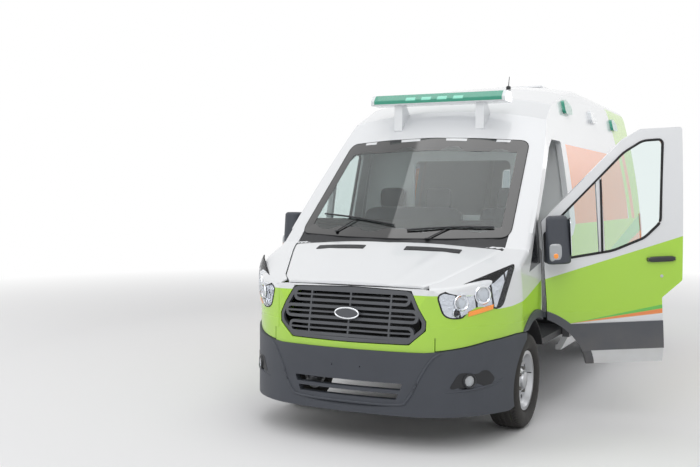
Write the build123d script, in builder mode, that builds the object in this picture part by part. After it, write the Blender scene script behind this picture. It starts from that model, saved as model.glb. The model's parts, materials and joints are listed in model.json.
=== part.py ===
from build123d import *

import copy
import os
from math import cos, radians, sin

# High-roof van ambulance, left-hand drive, with its driver's door standing open.
#
# Millimetres. +Z is up and the front faces -Y, so the vehicle's left is +X. The origin is on the
# centreline, on the load floor, at the middle of the stretcher lock plate. Heights are given above
# the ground through up(), and places along the vehicle are given behind the nose through aft().

# Overall
LENGTH = 5981.0  # nose to the rear step
BODY_LENGTH = 5900.0  # nose to the rear doors' outer face
FLOOR_HEIGHT = 700.0  # load floor above the ground
LOCK_BEHIND_NOSE = 4100.0  # stretcher lock plate
WHEELBASE = 3750.0
FRONT_OVERHANG = 1023.0
WALL = 45.0  # doors, sides and roof, with their linings
GAP = 6.0  # shut lines
DOOR_CLEAR = 9.0  # from a front door's inner face to the cab floor

# Cross-section of the body: half widths and heights above the ground
SILL_HALF, SILL_HEIGHT = 968.0, 420.0
WAIST_HALF, WAIST_LOW, WAIST_HIGH = 1024.0, 530.0, 800.0
RAIL_HALF, RAIL_HEIGHT = 868.0, 2260.0
SHOULDER_HALF, SHOULDER_HEIGHT = 785.0, 2590.0
EDGE_HALF, EDGE_HEIGHT = 690.0, 2715.0
CROWN_HEIGHT = 2785.0

# Nose, bonnet, windscreen and brow
NOSE_ARC_HALF, NOSE_ARC_BACK = 430.0, 34.0
CORNER_HALF, CORNER_BACK = 850.0, 300.0
TAPER_END = 1150.0  # where the nose's taper meets the straight side
FACE_FOOT, FACE_RAKE = 700.0, 0.20  # front face leans back from this height
BONNET_FRONT, BONNET_FRONT_HEIGHT = 60.0, 1092.0
BONNET_SLOPE = 21.0
BONNET_CROWN_RADIUS = 5200.0
SCREEN_BACK, SCREEN_HEIGHT = 750.0, 1372.0  # middle of the windscreen's lower edge
SCREEN_SLOPE = 42.8
SCREEN_RADIUS = 3600.0
# Brow over the windscreen, in facets that flatten into the roof: behind the nose, height, slope
BROW = ((1860.0, 2400.0, 24.5), (2200.0, 2555.0, 13.0), (2770.0, 2690.0, 7.0))
ROOF_LINE = ((1300.0, 2140.0), (1700.0, 2168.0), (2240.0, 2235.0), (6100.0, 2235.0))

# Windscreen outline in front view
SCREEN_FOOT_HALF, SCREEN_FOOT = 838.0, 1405.0
SCREEN_HEAD_HALF, SCREEN_HEAD = 765.0, 2112.0
GLASS = 6.0
GLASS_SET = 3.0  # glass below the outer skin
SEAL = 4.0  # glass edge to its opening

# Front doors
DOOR_FRONT, DOOR_REAR_TOP, DOOR_REAR, DOOR_REAR_LOW = 1185.0, 2255.0, 2190.0, 2040.0
DOOR_TOP, DOOR_KNEE = 2145.0, 960.0
DOOR_OPEN = 68.0  # as it stands
HINGE_HALF, HINGE_BACK, HINGE_HEIGHT = 1050.0, 1175.0, 750.0
HINGE_LEAN = 3.5  # hinge axis leans inward at the top

# Rear doors
REAR_HINGE_HALF, REAR_HINGE_PROUD = 866.0, 14.0
REAR_DOOR_FOOT, REAR_DOOR_HEAD = 600.0, 2200.0

# Sliding door, right side
SLIDE_FRONT, SLIDE_REAR, SLIDE_FOOT, SLIDE_HEAD = 2330.0, 3630.0, 480.0, 2190.0

# Wheels, 235/65 R16
TYRE_RADIUS, TYRE_WIDTH, LOADED_RADIUS = 350.0, 235.0, 346.0
RIM_RADIUS = 216.0
HALF_TRACK = 866.0
ARCH_RADIUS = 462.0
ARCH_TRIM = 58.0
KINGPIN_HALF = 800.0
STUB_RADIUS, STUB_CLEAR = 25.0, 0.05

# Side cladding
CLAD_LOW, CLAD_HIGH, CLAD_PROUD = 530.0, 735.0, 12.0

# Front bumper and what sits in it
BUMPER_FOOT, BUMPER_PROUD, BUMPER_THICK = 230.0, 14.0, 40.0
FOG_HALF, FOG_BACK, FOG_HEIGHT = 770.0, 230.0, 460.0
PLATE_HOLE_HALF, PLATE_HEIGHT = 105.0, 540.0
PANEL_HALF = 600.0

# Rear step
STEP_HALF, STEP_LOW, STEP_HIGH = 940.0, 430.0, 584.0

# Roof equipment
BAR_HALF, BRACKET_HALF = 590.0, 360.0
SIDE_LAMPS = [(2740, 2480), (3860, 2480), (4980, 2480)]

# Front suspension
ARM_LOW = 232.0
KINGPIN_RADIUS, KINGPIN_TOP = 16.0, 452.0
LINER = 6.0
HOUSING_HALF = 556.0
FIREWALL_BACK = 1150.0
REAR_HOUSING, REAR_BEAM_HALF = 735.0, 742.0
RIM_HOLES = 10

# Steering column
COLUMN_X, COLUMN_BACK, COLUMN_HEIGHT, COLUMN_TILT, COLUMN_GAP = 470.0, 1590.0, 1330.0, 55.0, 6.0

# Stretcher lock's bolts
LOCK_BOLTS_ACROSS, LOCK_BOLTS_ALONG, LOCK_BOLT_RADIUS = 160.0, 320.0, 5.5

# Rails and floors
RAIL_MID, RAIL_WIDTH, RAIL_LOW, RAIL_TOP = 415.0, 70.0, 420.0, 550.0
RAIL_FRONT, RAIL_REAR = 260.0, 5850.0
FLOOR_THICK = 50.0
CAB_FLOOR_HEIGHT = 600.0
BULKHEAD_BACK = 2290.0


def aft(distance):
    """Y of a place this far behind the nose."""
    return distance - LOCK_BEHIND_NOSE


def up(height):
    """Z of a height above the ground."""
    return height - FLOOR_HEIGHT


FRONT_AXLE = aft(FRONT_OVERHANG)
REAR_AXLE = aft(FRONT_OVERHANG + WHEELBASE)
HUB_HEIGHT = up(LOADED_RADIUS)


def side_points(*points):
    """(behind the nose, above the ground) pairs as points of a YZ sketch."""
    return [(aft(y), up(z)) for y, z in points]


def front_points(*points):
    """(across, above the ground) pairs as points of a sketch seen from the front."""
    return [(x, up(z)) for x, z in points]


def across(back):
    """Plane across the vehicle at a distance behind the nose, X to the left side, Z up, facing forward."""
    return Plane(origin=(0, aft(back), 0), x_dir=(1, 0, 0), z_dir=(0, -1, 0))


def section_face(inset):
    """Body cross-section, inset by a wall, which then runs out through the bottom."""
    right_edge = front_points(
        (SILL_HALF, SILL_HEIGHT),
        (WAIST_HALF, WAIST_LOW),
        (WAIST_HALF, WAIST_HIGH),
        (RAIL_HALF, RAIL_HEIGHT),
        (SHOULDER_HALF, SHOULDER_HEIGHT),
        (EDGE_HALF, EDGE_HEIGHT),
        (0, CROWN_HEIGHT),
    )
    sill, low, high, rail, shoulder, edge, crown = right_edge
    with BuildSketch(Plane.XY) as face:
        with BuildLine():
            side = Polyline(sill, low, high)
            tumble = TangentArc(high, rail, tangent=(0, 1))
            upper = Line(rail, shoulder)
            corner = TangentArc(shoulder, edge, tangent=upper % 1)
            ThreePointArc(edge, crown, (-edge[0], edge[1]))
            mirror(upper, about=Plane.YZ)
            mirror(corner, about=Plane.YZ)
            mirror(tumble, about=Plane.YZ)
            mirror(side, about=Plane.YZ)
            Line(sill, (-sill[0], sill[1]))
        make_face()
        if inset:
            offset(amount=-inset, kind=Kind.INTERSECTION)
        if inset > 0:
            with Locations((0, up(SILL_HEIGHT - 100))):
                Rectangle(2 * (SILL_HALF - inset), 400)
    return face.sketch


def plan_face(inset):
    """Body outline in plan, with the nose's taper, set in by inset."""
    with BuildSketch(Plane.XY) as face:
        with BuildLine():
            nose = (0, aft(inset))
            bend = (NOSE_ARC_HALF - 0.1 * inset, aft(NOSE_ARC_BACK + inset))
            corner = (CORNER_HALF - 0.8 * inset, aft(CORNER_BACK + 0.6 * inset))
            side = (WAIST_HALF + 16 - inset, aft(TAPER_END))
            back = (WAIST_HALF + 300, aft(LENGTH))
            front_arc = ThreePointArc((-bend[0], bend[1]), nose, bend)
            round_arc = TangentArc(bend, corner, tangent=front_arc % 1)
            side_arc = TangentArc(corner, side, tangent=round_arc % 1)
            Polyline(side, (back[0], side[1]), back, (0, back[1]))
            Polyline((0, back[1]), (-back[0], back[1]), (-back[0], side[1]), (-side[0], side[1]))
            mirror(side_arc, about=Plane.YZ)
            mirror(round_arc, about=Plane.YZ)
        make_face()
    return face.sketch


def column_plane(along):
    """Plane square to the steering column, this far along it from the wheel's hub."""
    tilt = radians(COLUMN_TILT)
    out = Vector(0, cos(tilt), sin(tilt))
    hub = Vector(COLUMN_X, aft(COLUMN_BACK), up(COLUMN_HEIGHT))
    return Plane(origin=hub + out * along, x_dir=(1, 0, 0), z_dir=out)


def envelope(inset):
    """Closed body form whose every face is set in by inset."""
    with BuildPart() as form:
        with BuildSketch(across(BODY_LENGTH - inset)):
            add(section_face(inset))
        extrude(amount=BODY_LENGTH + 200)
        with BuildSketch(Plane.XY.offset(up(0))):
            add(plan_face(inset))
        extrude(amount=CROWN_HEIGHT + 100, mode=Mode.INTERSECT)
        # front face, leaning back
        with BuildSketch(Plane.YZ):
            face_top = FACE_FOOT + 600
            Polygon(
                *side_points(
                    (inset - 300, FACE_FOOT),
                    (inset, FACE_FOOT),
                    (inset + FACE_RAKE * 600, face_top),
                    (inset - 300, face_top),
                ),
                align=None,
            )
        extrude(amount=1200, both=True, mode=Mode.SUBTRACT)
        crowned = [
            (BONNET_FRONT, BONNET_FRONT_HEIGHT, BONNET_SLOPE, BONNET_CROWN_RADIUS, 1000),
            (SCREEN_BACK, SCREEN_HEIGHT, SCREEN_SLOPE, SCREEN_RADIUS, 1900),
            *[(*facet, SCREEN_RADIUS, 2600) for facet in BROW],
        ]
        for facet in crowned:
            add(above(inset, *facet), mode=Mode.SUBTRACT)
    return form.part


def above(inset, back, height, slope, radius, run):
    """What is above a crowned surface that rises towards the back at slope degrees."""
    rise = radians(slope)
    normal = Vector(0, -sin(rise), cos(rise))
    along = Vector(0, cos(rise), sin(rise))
    foot = Vector(0, aft(back), up(height)) - normal * inset - along * 700
    lean = Plane(origin=foot, x_dir=(1, 0, 0), z_dir=along)
    outward = 1 if lean.y_dir.dot(normal) > 0 else -1
    half = 1300.0
    drop = radius - inset - ((radius - inset) ** 2 - half**2) ** 0.5
    left, right = (-half, -outward * drop), (half, -outward * drop)
    with BuildPart() as cutter:
        with BuildSketch(lean):
            with BuildLine():
                ThreePointArc(left, (0, 0), right)
                Polyline(right, (half, outward * 2600), (-half, outward * 2600), left)
            make_face()
        extrude(amount=run + 700)
    return cutter.part


OUTER = envelope(0)
INNER = envelope(WALL)
PROUD = envelope(-CLAD_PROUD)


def side_prism(points, side=0, radius=0.0, grow=0.0):
    """Prism across the vehicle with this outline in side view, on one side or through both."""
    with BuildPart() as prism:
        with BuildSketch(Plane.YZ):
            Polygon(*side_points(*points), align=None)
            if radius:
                fillet(vertices(), radius)
            if grow:
                offset(amount=grow, kind=Kind.INTERSECTION)
        if side:
            extrude(amount=side * 1500)
        else:
            extrude(amount=1500, both=True)
    return prism.part


def front_prism(points, back_from, back_to, radius=0.0, grow=0.0):
    """Prism along the vehicle with this outline in front view."""
    with BuildPart() as prism:
        with BuildSketch(across(back_to)):
            Polygon(*front_points(*points), align=None)
            if radius:
                fillet(vertices(), radius)
            if grow:
                offset(amount=grow, kind=Kind.INTERSECTION)
        extrude(amount=back_to - back_from)
    return prism.part


def plan_prism(points, low, high, grow=0.0):
    """Prism upwards with this outline in plan, (across, behind the nose)."""
    with BuildPart() as prism:
        with BuildSketch(Plane.XY.offset(up(low))):
            Polygon(*[(x, aft(y)) for x, y in points], align=None)
            if grow:
                offset(amount=grow, kind=Kind.INTERSECTION)
        extrude(amount=high - low)
    return prism.part


def box(x, y, z):
    """Box between (from, to) pairs: across, behind the nose and above the ground."""
    with BuildPart() as block:
        with Locations(((x[0] + x[1]) / 2, aft((y[0] + y[1]) / 2), up((z[0] + z[1]) / 2))):
            Box(abs(x[1] - x[0]), abs(y[1] - y[0]), abs(z[1] - z[0]))
    return block.part


def arch_cylinder(axle_back, radius):
    """Cylinder across the vehicle at a wheel arch."""
    with BuildPart() as arch:
        with Locations(Location((0, aft(axle_back), HUB_HEIGHT), (0, 90, 0))):
            Cylinder(radius, 3000)
    return arch.part


def mirrored(points):
    """Whole outline from its half on the left side."""
    return [*points, *[(-x, z) for x, z in reversed(points) if x]]


def common(first, *others):
    """What all these parts share."""
    with BuildPart() as shared:
        add(first)
        for other in others:
            add(other, mode=Mode.INTERSECT)
    return shared.part


def without(first, *others):
    """The first part less the others."""
    with BuildPart() as rest:
        add(first)
        for other in others:
            add(other, mode=Mode.SUBTRACT)
    return rest.part


REAR_AXLE_BACK = FRONT_OVERHANG + WHEELBASE
SHELL = without(OUTER, INNER)
FRONT_ARCH = arch_cylinder(FRONT_OVERHANG, ARCH_RADIUS)
REAR_ARCH = arch_cylinder(REAR_AXLE_BACK, ARCH_RADIUS)

# Cladding and arch trims as one proud skin
with BuildPart() as trim_skin:
    add(box((-1300, 1300), (TAPER_END + 20, BODY_LENGTH - 40), (CLAD_LOW, CLAD_HIGH)))
    add(arch_cylinder(FRONT_OVERHANG, ARCH_RADIUS + ARCH_TRIM))
    add(arch_cylinder(REAR_AXLE_BACK, ARCH_RADIUS + ARCH_TRIM))
    add(box((-1300, 1300), (0, LENGTH), (SILL_HEIGHT + 20, 1300)), mode=Mode.INTERSECT)
    add(PROUD, mode=Mode.INTERSECT)
    add(envelope(WALL / 2), mode=Mode.SUBTRACT)
    add(FRONT_ARCH, mode=Mode.SUBTRACT)
    add(REAR_ARCH, mode=Mode.SUBTRACT)
with BuildPart() as skin:
    add(SHELL)
    add(trim_skin.part)
SKIN = without(skin.part, FRONT_ARCH, REAR_ARCH)

DOOR_OUTLINE = [
    (DOOR_FRONT, SILL_HEIGHT - 20),
    (DOOR_FRONT + 14, 900),
    (DOOR_FRONT, 1500),
    (1815, 2075),
    (1950, DOOR_TOP),
    (DOOR_REAR_TOP, DOOR_TOP),
    (DOOR_REAR, DOOR_KNEE + 60),
    (DOOR_REAR_LOW, DOOR_KNEE - 60),
    (DOOR_REAR_LOW, SILL_HEIGHT - 20),
]
DOOR_WINDOW = [
    (DOOR_FRONT + 50, 1205),
    (1700, 1262),
    (1930, 1345),
    (2050, 1450),
    (2105, 2058),
    (1960, 2055),
    (1815, 1975),
    (DOOR_FRONT + 50, 1440),
]
SCREEN_OUTLINE = mirrored(
    [
        (0, SCREEN_FOOT - 20),
        (SCREEN_FOOT_HALF, SCREEN_FOOT),
        (SCREEN_HEAD_HALF, SCREEN_HEAD),
        (0, SCREEN_HEAD + 34),
    ]
)
BONNET_OUTLINE = mirrored(
    [(0, -60), (440, -60), (470, 60), (600, 215), (806, 690), (848, 806), (600, 760), (0, 716)]
)
BONNET_LOW = 1082.0
VENT_MIDDLE, VENT_BACK, VENT_LENGTH = 400.0, 668.0, 400.0
BONNET_THICK, BONNET_GAP = 25.0, 11.0
GRILLE_OUTLINE = mirrored([(0, 700), (438, 704), (545, 800), (548, 860), (440, 1055), (0, 1068)])
LAMP_OUTLINE = [(-262, 1022), (362, 1236), (232, 940), (-150, 868), (-222, 888)]
LAMP_CENTRE = (750.0, 350.0)
LAMP_TURN = 50.0
LAMP_DEPTH = 95.0
WINDOW_BAR = 1620.0
SLIDE_OUTLINE = [
    (SLIDE_FRONT, SLIDE_FOOT),
    (SLIDE_REAR, SLIDE_FOOT),
    (SLIDE_REAR, SLIDE_HEAD),
    (SLIDE_FRONT, SLIDE_HEAD),
]
SLIDE_WINDOW = [(2470, 1390), (3490, 1390), (3490, 2020), (2470, 2020)]
ROOF_REGION = side_prism([*ROOF_LINE, (6100, 3200), (1300, 3200)])
WING_TOP = [(1179, 1440), (900, 1352), (800, 1318), (640, 1253), (-400, 1253)]
FRONT_REGION = side_prism([(-400, 100), (DOOR_FRONT - GAP, 100), *WING_TOP])
FRONT_REGION_CUT = side_prism([(-400, 100), (DOOR_FRONT, 100), *[(y, z + GAP / 2) for y, z in WING_TOP]])
LEFT_HALF = box((0, 2000), (-500, 6500), (0, 4000))
RIGHT_HALF = box((-2000, 0), (-500, 6500), (0, 4000))
BUMPER_TOP = [(-400, 655), (60, 655), (330, 715), (600, 742), (1200, 742)]
BELOW_BUMPER_TOP = side_prism([*BUMPER_TOP, (1200, 0), (-400, 0)])


def rear_door_outline(side, grow=0.0):
    """Outline of one rear door in front view."""
    middle = side * (GAP / 2 - grow)
    edge = REAR_HINGE_HALF - 8 + grow
    return [
        (middle, REAR_DOOR_FOOT - grow),
        (side * edge, REAR_DOOR_FOOT - grow),
        (side * edge, 1650),
        (side * (800 + grow), REAR_DOOR_HEAD + grow),
        (middle, REAR_DOOR_HEAD + grow),
    ]


def rear_window_outline(side):
    """Outline of one rear door's window in front view."""
    return [(side * 110, 1440), (side * 740, 1440), (side * 700, 2030), (side * 110, 2030)]


def tail_lamp_outline(side):
    """Outline of one tail lamp in front view."""
    return [(side * 882, 905), (side * 1100, 905), (side * 1100, 1500), (side * 882, 1500)]


def lamp_prism(side, grow=0.0):
    """Prism with a headlamp's outline, square to the nose's corner."""
    turn = radians(LAMP_TURN)
    outward = Vector(side * sin(turn), -cos(turn), 0)
    plane = Plane(
        origin=(side * LAMP_CENTRE[0], aft(LAMP_CENTRE[1]), 0),
        x_dir=(cos(turn), side * sin(turn), 0),
        z_dir=outward,
    )
    with BuildPart() as prism:
        with BuildSketch(plane):
            Polygon(*[(side * u, up(z)) for u, z in LAMP_OUTLINE], align=None)
            fillet(vertices(), 34)
            if grow:
                offset(amount=grow, kind=Kind.INTERSECTION)
        extrude(amount=320, both=True)
    return prism.part


def pane(prism):
    """Thin glass that follows the body's surface inside an opening."""
    return common(without(envelope(GLASS_SET), envelope(GLASS_SET + GLASS)), prism)


def largest(part):
    """The main solid of a part, without slivers that crowned cuts leave beside it."""
    return part.solids().sort_by(SortBy.VOLUME)[-1]


def door_window(side, seal=0.0):
    """Quarter light and drop glass openings of a front door, less a seal all round for the glass."""
    ahead, behind = WINDOW_BAR - 20 - seal, WINDOW_BAR + 20 + seal
    bar = [(ahead, 1000), (behind, 1000), (behind, 2400), (ahead, 2400)]
    return without(side_prism(DOOR_WINDOW, side, radius=40 - seal / 2, grow=-seal), side_prism(bar, side))


def front_door(side):
    """Front door, closed, with its window cut out."""
    with BuildPart() as door:
        add(copy.deepcopy(SKIN))
        add(side_prism(DOOR_OUTLINE, side, radius=22, grow=-GAP / 2), mode=Mode.INTERSECT)
        add(door_window(side), mode=Mode.SUBTRACT)
        # handle
        with BuildSketch(Plane.YZ.offset(side * 985)):
            with Locations((aft(2040), up(1185))):
                SlotOverall(200, 34)
        extrude(amount=side * 52)
    return door.part


def front_glass(side):
    """Quarter light and drop glass."""
    return pane(door_window(side, SEAL))


def door_mirror(side):
    """Tall mirror head on a double arm from the corner of the window."""
    with BuildPart() as head:
        with BuildSketch(Plane.XY.offset(up(1200))):
            with Locations((side * 1127, aft(1280))):
                RectangleRounded(170, 180, 60)
        extrude(amount=345, taper=3)
        fillet(head.edges().group_by(Axis.Z)[-1], 26)
        fillet(head.edges().group_by(Axis.Z)[0], 20)
        with BuildSketch(Plane.YZ.offset(side * 905)):
            for height in (1262, 1362):
                with Locations((aft(1292), up(height))):
                    RectangleRounded(80, 44, 18)
        extrude(amount=side * 180)
        with BuildSketch(Plane.YZ.offset(side * 905)):
            Polygon(*side_points((1243, 1215), (1400, 1232), (1400, 1520), (1243, 1436)), align=None)
        extrude(amount=side * 94)
        add(envelope(GLASS_SET - 0.5), mode=Mode.SUBTRACT)
    return head.part


def as_parked(part):
    """The left front door's pieces as they stand, turned about the leaning hinge axis."""
    lean = radians(HINGE_LEAN)
    axis = Axis((HINGE_HALF, aft(HINGE_BACK), up(HINGE_HEIGHT)), (-sin(lean), 0, cos(lean)))
    return part.rotate(axis, -DOOR_OPEN)


def as_built(part):
    """A piece left where it is."""
    return part


def save(part, name):
    """Labels a finished piece and writes its file."""
    part.label = name
    export_step(part, f"parts/{name}.step")


os.makedirs("parts", exist_ok=True)

# Front doors, glass and mirrors; the left door stands open
for side, name, placed in ((1, "left", as_parked), (-1, "right", as_built)):
    save(placed(front_door(side)), f"{name}_front_door")
    save(placed(front_glass(side)), f"{name}_front_glass")
    save(placed(door_mirror(side)), f"{name}_mirror")

DOOR_OPENING = side_prism(
    [(y + GAP * (y > 1700), z + GAP * (z > 1600)) for y, z in DOOR_OUTLINE], radius=22, grow=GAP / 2
)

# Bonnet with air slots near its rear edge
with BuildPart() as bonnet:
    add(OUTER)
    add(plan_prism(BONNET_OUTLINE, BONNET_LOW + GAP, 1500, grow=-BONNET_GAP), mode=Mode.INTERSECT)
    add(envelope(BONNET_THICK), mode=Mode.SUBTRACT)
    for side in (1, -1):
        with BuildSketch(Plane.XY.offset(up(1000))):
            with Locations(Location((side * VENT_MIDDLE, aft(VENT_BACK), 0), (0, 0, side * 6))):
                SlotOverall(VENT_LENGTH, 34)
        extrude(amount=600, mode=Mode.SUBTRACT)
save(bonnet.part, "bonnet")
BONNET_SPACE = plan_prism(BONNET_OUTLINE, BONNET_LOW, 1500)

# Grille: frame, three nested loops of twin bars and upright ribs before a dark plate
with BuildPart() as grille:
    with BuildSketch(across(400)) as bars:
        Polygon(*front_points(*GRILLE_OUTLINE), align=None)
        fillet(vertices().filter_by(lambda v: abs(v.X) > 100), 60)
        offset(amount=-GAP / 2)
    with BuildSketch(across(400), mode=Mode.PRIVATE) as field:
        add(bars.sketch)
        offset(amount=-24)
    with BuildSketch(across(400), mode=Mode.PRIVATE) as loops:
        for half_width, middle in ((440, 1000), (500, 888), (470, 776)):
            with Locations((0, up(middle))):
                RectangleRounded(2 * half_width, 92, 40)
                RectangleRounded(2 * half_width - 40, 52, 22, mode=Mode.SUBTRACT)
                Rectangle(2 * half_width - 30, 12)
        for rib in (-300, 0, 300):
            with Locations((rib, up(888))):
                Rectangle(12, 330)
    extrude(amount=500)
    with BuildSketch(across(400)) as holes:
        add(field.sketch)
        add(loops.sketch, mode=Mode.SUBTRACT)
    extrude(amount=500, mode=Mode.SUBTRACT)
    add(envelope(4), mode=Mode.INTERSECT)
    add(envelope(34), mode=Mode.SUBTRACT)
save(largest(grille.part), "grille")

# Front lamps: two headlamps and two fog lamps
with BuildPart() as front_lamps:
    for side in (1, -1):
        lens = common(without(envelope(4), envelope(LAMP_DEPTH)), lamp_prism(side, -GAP / 2))
        add(largest(without(lens, BONNET_SPACE, front_prism(GRILLE_OUTLINE, -200, 500, grow=GAP))))
    for side in (1, -1):
        with Locations(Location((side * FOG_HALF, aft(FOG_BACK), up(FOG_HEIGHT)), (90, 0, 0))):
            Cylinder(44, 60)
save(front_lamps.part, "front_lamps")

# Painted front panel between the wings, open round the grille
with BuildPart() as front_panel:
    add(copy.deepcopy(SKIN))
    add(FRONT_REGION, mode=Mode.INTERSECT)
    add(box((-PANEL_HALF, PANEL_HALF), (-100, 430), (400, 1300)), mode=Mode.INTERSECT)
    add(BELOW_BUMPER_TOP, mode=Mode.SUBTRACT)
    add(BONNET_SPACE, mode=Mode.SUBTRACT)
    add(front_prism(GRILLE_OUTLINE, -200, 500, grow=GAP / 2), mode=Mode.SUBTRACT)
    add(lamp_prism(1, GAP / 2), mode=Mode.SUBTRACT)
    add(lamp_prism(-1, GAP / 2), mode=Mode.SUBTRACT)
save(largest(front_panel.part), "front_panel")

# Wings
for side, half, name in ((1, LEFT_HALF, "left"), (-1, RIGHT_HALF, "right")):
    with BuildPart() as wing:
        add(copy.deepcopy(SKIN))
        add(FRONT_REGION, mode=Mode.INTERSECT)
        add(half, mode=Mode.INTERSECT)
        add(box((-PANEL_HALF - GAP, PANEL_HALF + GAP), (-100, 430 + GAP), (400, 1300)), mode=Mode.SUBTRACT)
        add(side_prism([(y, z + GAP) for y, z in BUMPER_TOP] + [(1200, 0), (-400, 0)]), mode=Mode.SUBTRACT)
        add(BONNET_SPACE, mode=Mode.SUBTRACT)
        add(lamp_prism(side, GAP / 2), mode=Mode.SUBTRACT)
    save(largest(wing.part), f"{name}_wing")

# Front bumper: one shell round the nose with an air intake, fog lamp seats and the plate's two holes
with BuildPart() as front_bumper:
    with BuildSketch(Plane.XY.offset(up(BUMPER_FOOT))):
        add(plan_face(-BUMPER_PROUD))
    extrude(amount=560)
    add(BELOW_BUMPER_TOP, mode=Mode.INTERSECT)
    with BuildSketch(Plane.XY.offset(up(BUMPER_FOOT - 10))):
        add(plan_face(BUMPER_THICK))
    extrude(amount=700, mode=Mode.SUBTRACT)
    add(box((-1500, 1500), (FRONT_OVERHANG - 300, 7000), (0, 3000)), mode=Mode.SUBTRACT)
    add(arch_cylinder(FRONT_OVERHANG, ARCH_RADIUS), mode=Mode.SUBTRACT)
    add(side_prism([(-300, 200), (-60, 200), (10, 300), (-300, 420)]), mode=Mode.SUBTRACT)
    add(side_prism([(300, 150), (800, 150), (800, 330)]), mode=Mode.SUBTRACT)
    for low, high in ((338, 378), (402, 446)):
        slot = mirrored([(360 + 0.4 * (low - 338), low), (360 + 0.4 * (high - 338), high)])
        add(front_prism(slot, -200, 400, radius=8), mode=Mode.SUBTRACT)
    for side in (1, -1):
        with Locations(Location((side * FOG_HALF, aft(FOG_BACK), up(FOG_HEIGHT)), (90, 0, 0))):
            Cylinder(47, 400, mode=Mode.SUBTRACT)
        with Locations(Location((side * PLATE_HOLE_HALF, aft(0), up(PLATE_HEIGHT)), (90, 0, 0))):
            Cylinder(4.5, 200, mode=Mode.SUBTRACT)
save(front_bumper.part, "front_bumper")

# Cab frame: windscreen surround, cowl and pillars
with BuildPart() as cab_frame:
    add(copy.deepcopy(SKIN))
    cab_length = side_prism([(600, 300), (BULKHEAD_BACK, 300), (BULKHEAD_BACK, 3000), (600, 3000)])
    add(cab_length, mode=Mode.INTERSECT)
    add(ROOF_REGION, mode=Mode.SUBTRACT)
    add(FRONT_REGION_CUT, mode=Mode.SUBTRACT)
    add(DOOR_OPENING, mode=Mode.SUBTRACT)
    add(front_prism(SCREEN_OUTLINE, 600, 2200, radius=40), mode=Mode.SUBTRACT)
    add(BONNET_SPACE, mode=Mode.SUBTRACT)
save(largest(cab_frame.part), "cab_frame")

# Cab floor with the firewall and the front wheel housings, clear of the doors' inner faces
CAB_SPACE = common(INNER, side_prism([(0, 300), (BULKHEAD_BACK, 300), (BULKHEAD_BACK, 3000), (0, 3000)]))
HOUSING_TOOLS = without(
    arch_cylinder(FRONT_OVERHANG, ARCH_RADIUS + LINER),
    box((-HOUSING_HALF, HOUSING_HALF), (0, 3000), (0, 3000)),
)
with BuildPart() as firewall:
    add(box((-1100, 1100), (FIREWALL_BACK, FIREWALL_BACK + 25), (CAB_FLOOR_HEIGHT - FLOOR_THICK, 1500)))
    floor_rise = (CAB_FLOOR_HEIGHT - FLOOR_THICK, CAB_FLOOR_HEIGHT)
    add(box((-1100, 1100), (FIREWALL_BACK, BULKHEAD_BACK), floor_rise))
    add(HOUSING_TOOLS, mode=Mode.SUBTRACT)
    for side in (1, -1):
        add(
            common(
                without(arch_cylinder(FRONT_OVERHANG, ARCH_RADIUS + LINER), FRONT_ARCH),
                box((side * HOUSING_HALF, side * 1100), (560, 1700), (CAB_FLOOR_HEIGHT - FLOOR_THICK, 1300)),
            )
        )
        add(
            without(
                box((side * (HOUSING_HALF - LINER), side * HOUSING_HALF), (420, 1500), (RAIL_TOP, 1000)),
                box((-1100, 1100), (1000, 1600), (1300, 1600)),
            )
        )
        add(lamp_prism(side, 2 * GAP), mode=Mode.SUBTRACT)
    add(CAB_SPACE, mode=Mode.INTERSECT)
    add(without(DOOR_OPENING, envelope(WALL + DOOR_CLEAR)), mode=Mode.SUBTRACT)
CAB_FLOOR = largest(firewall.part)
save(CAB_FLOOR, "cab_floor")
save(largest(pane(front_prism(SCREEN_OUTLINE, 600, 2200, radius=38, grow=-SEAL))), "windscreen")

# Sides of the load space
LOAD_REGION = side_prism([(BULKHEAD_BACK, 300), (6100, 300), (6100, 3000), (BULKHEAD_BACK, 3000)])
with BuildPart() as rear_opening:
    for side in (1, -1):
        add(front_prism(rear_door_outline(side, GAP), BODY_LENGTH - 120, LENGTH + 200))
with BuildPart() as lamp_space:
    for side in (1, -1):
        add(front_prism(tail_lamp_outline(side), BODY_LENGTH - 70, LENGTH, grow=1))
for side, half, name in ((1, LEFT_HALF, "left"), (-1, RIGHT_HALF, "right")):
    with BuildPart() as side_panel:
        add(copy.deepcopy(SKIN))
        add(LOAD_REGION, mode=Mode.INTERSECT)
        add(half, mode=Mode.INTERSECT)
        add(ROOF_REGION, mode=Mode.SUBTRACT)
        add(rear_opening.part, mode=Mode.SUBTRACT)
        add(lamp_space.part, mode=Mode.SUBTRACT)
        add(box((-1100, 1100), (RAIL_REAR, LENGTH), (0, REAR_DOOR_FOOT)), mode=Mode.SUBTRACT)
        if side < 0:
            add(side_prism(SLIDE_OUTLINE, side, radius=40, grow=GAP / 2), mode=Mode.SUBTRACT)
            add(box((-1100, -983), (SLIDE_REAR + 60, BODY_LENGTH - 600), (1215, 1265)), mode=Mode.SUBTRACT)
    save(side_panel.part, f"{name}_side")

# Sliding side door and its window
with BuildPart() as sliding_door:
    add(copy.deepcopy(SKIN))
    add(side_prism(SLIDE_OUTLINE, -1, radius=38, grow=-GAP / 2), mode=Mode.INTERSECT)
    add(side_prism(SLIDE_WINDOW, -1, radius=60), mode=Mode.SUBTRACT)
    with BuildSketch(Plane.YZ.offset(-985)):
        with Locations((aft(SLIDE_FRONT + 120), up(1185))):
            SlotOverall(180, 34)
    extrude(amount=-46)
save(sliding_door.part, "sliding_door")
save(pane(side_prism(SLIDE_WINDOW, -1, radius=58, grow=-SEAL)), "sliding_door_glass")

# High roof
with BuildPart() as high_roof:
    add(copy.deepcopy(SKIN))
    add(ROOF_REGION, mode=Mode.INTERSECT)
save(high_roof.part, "high_roof")

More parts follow.
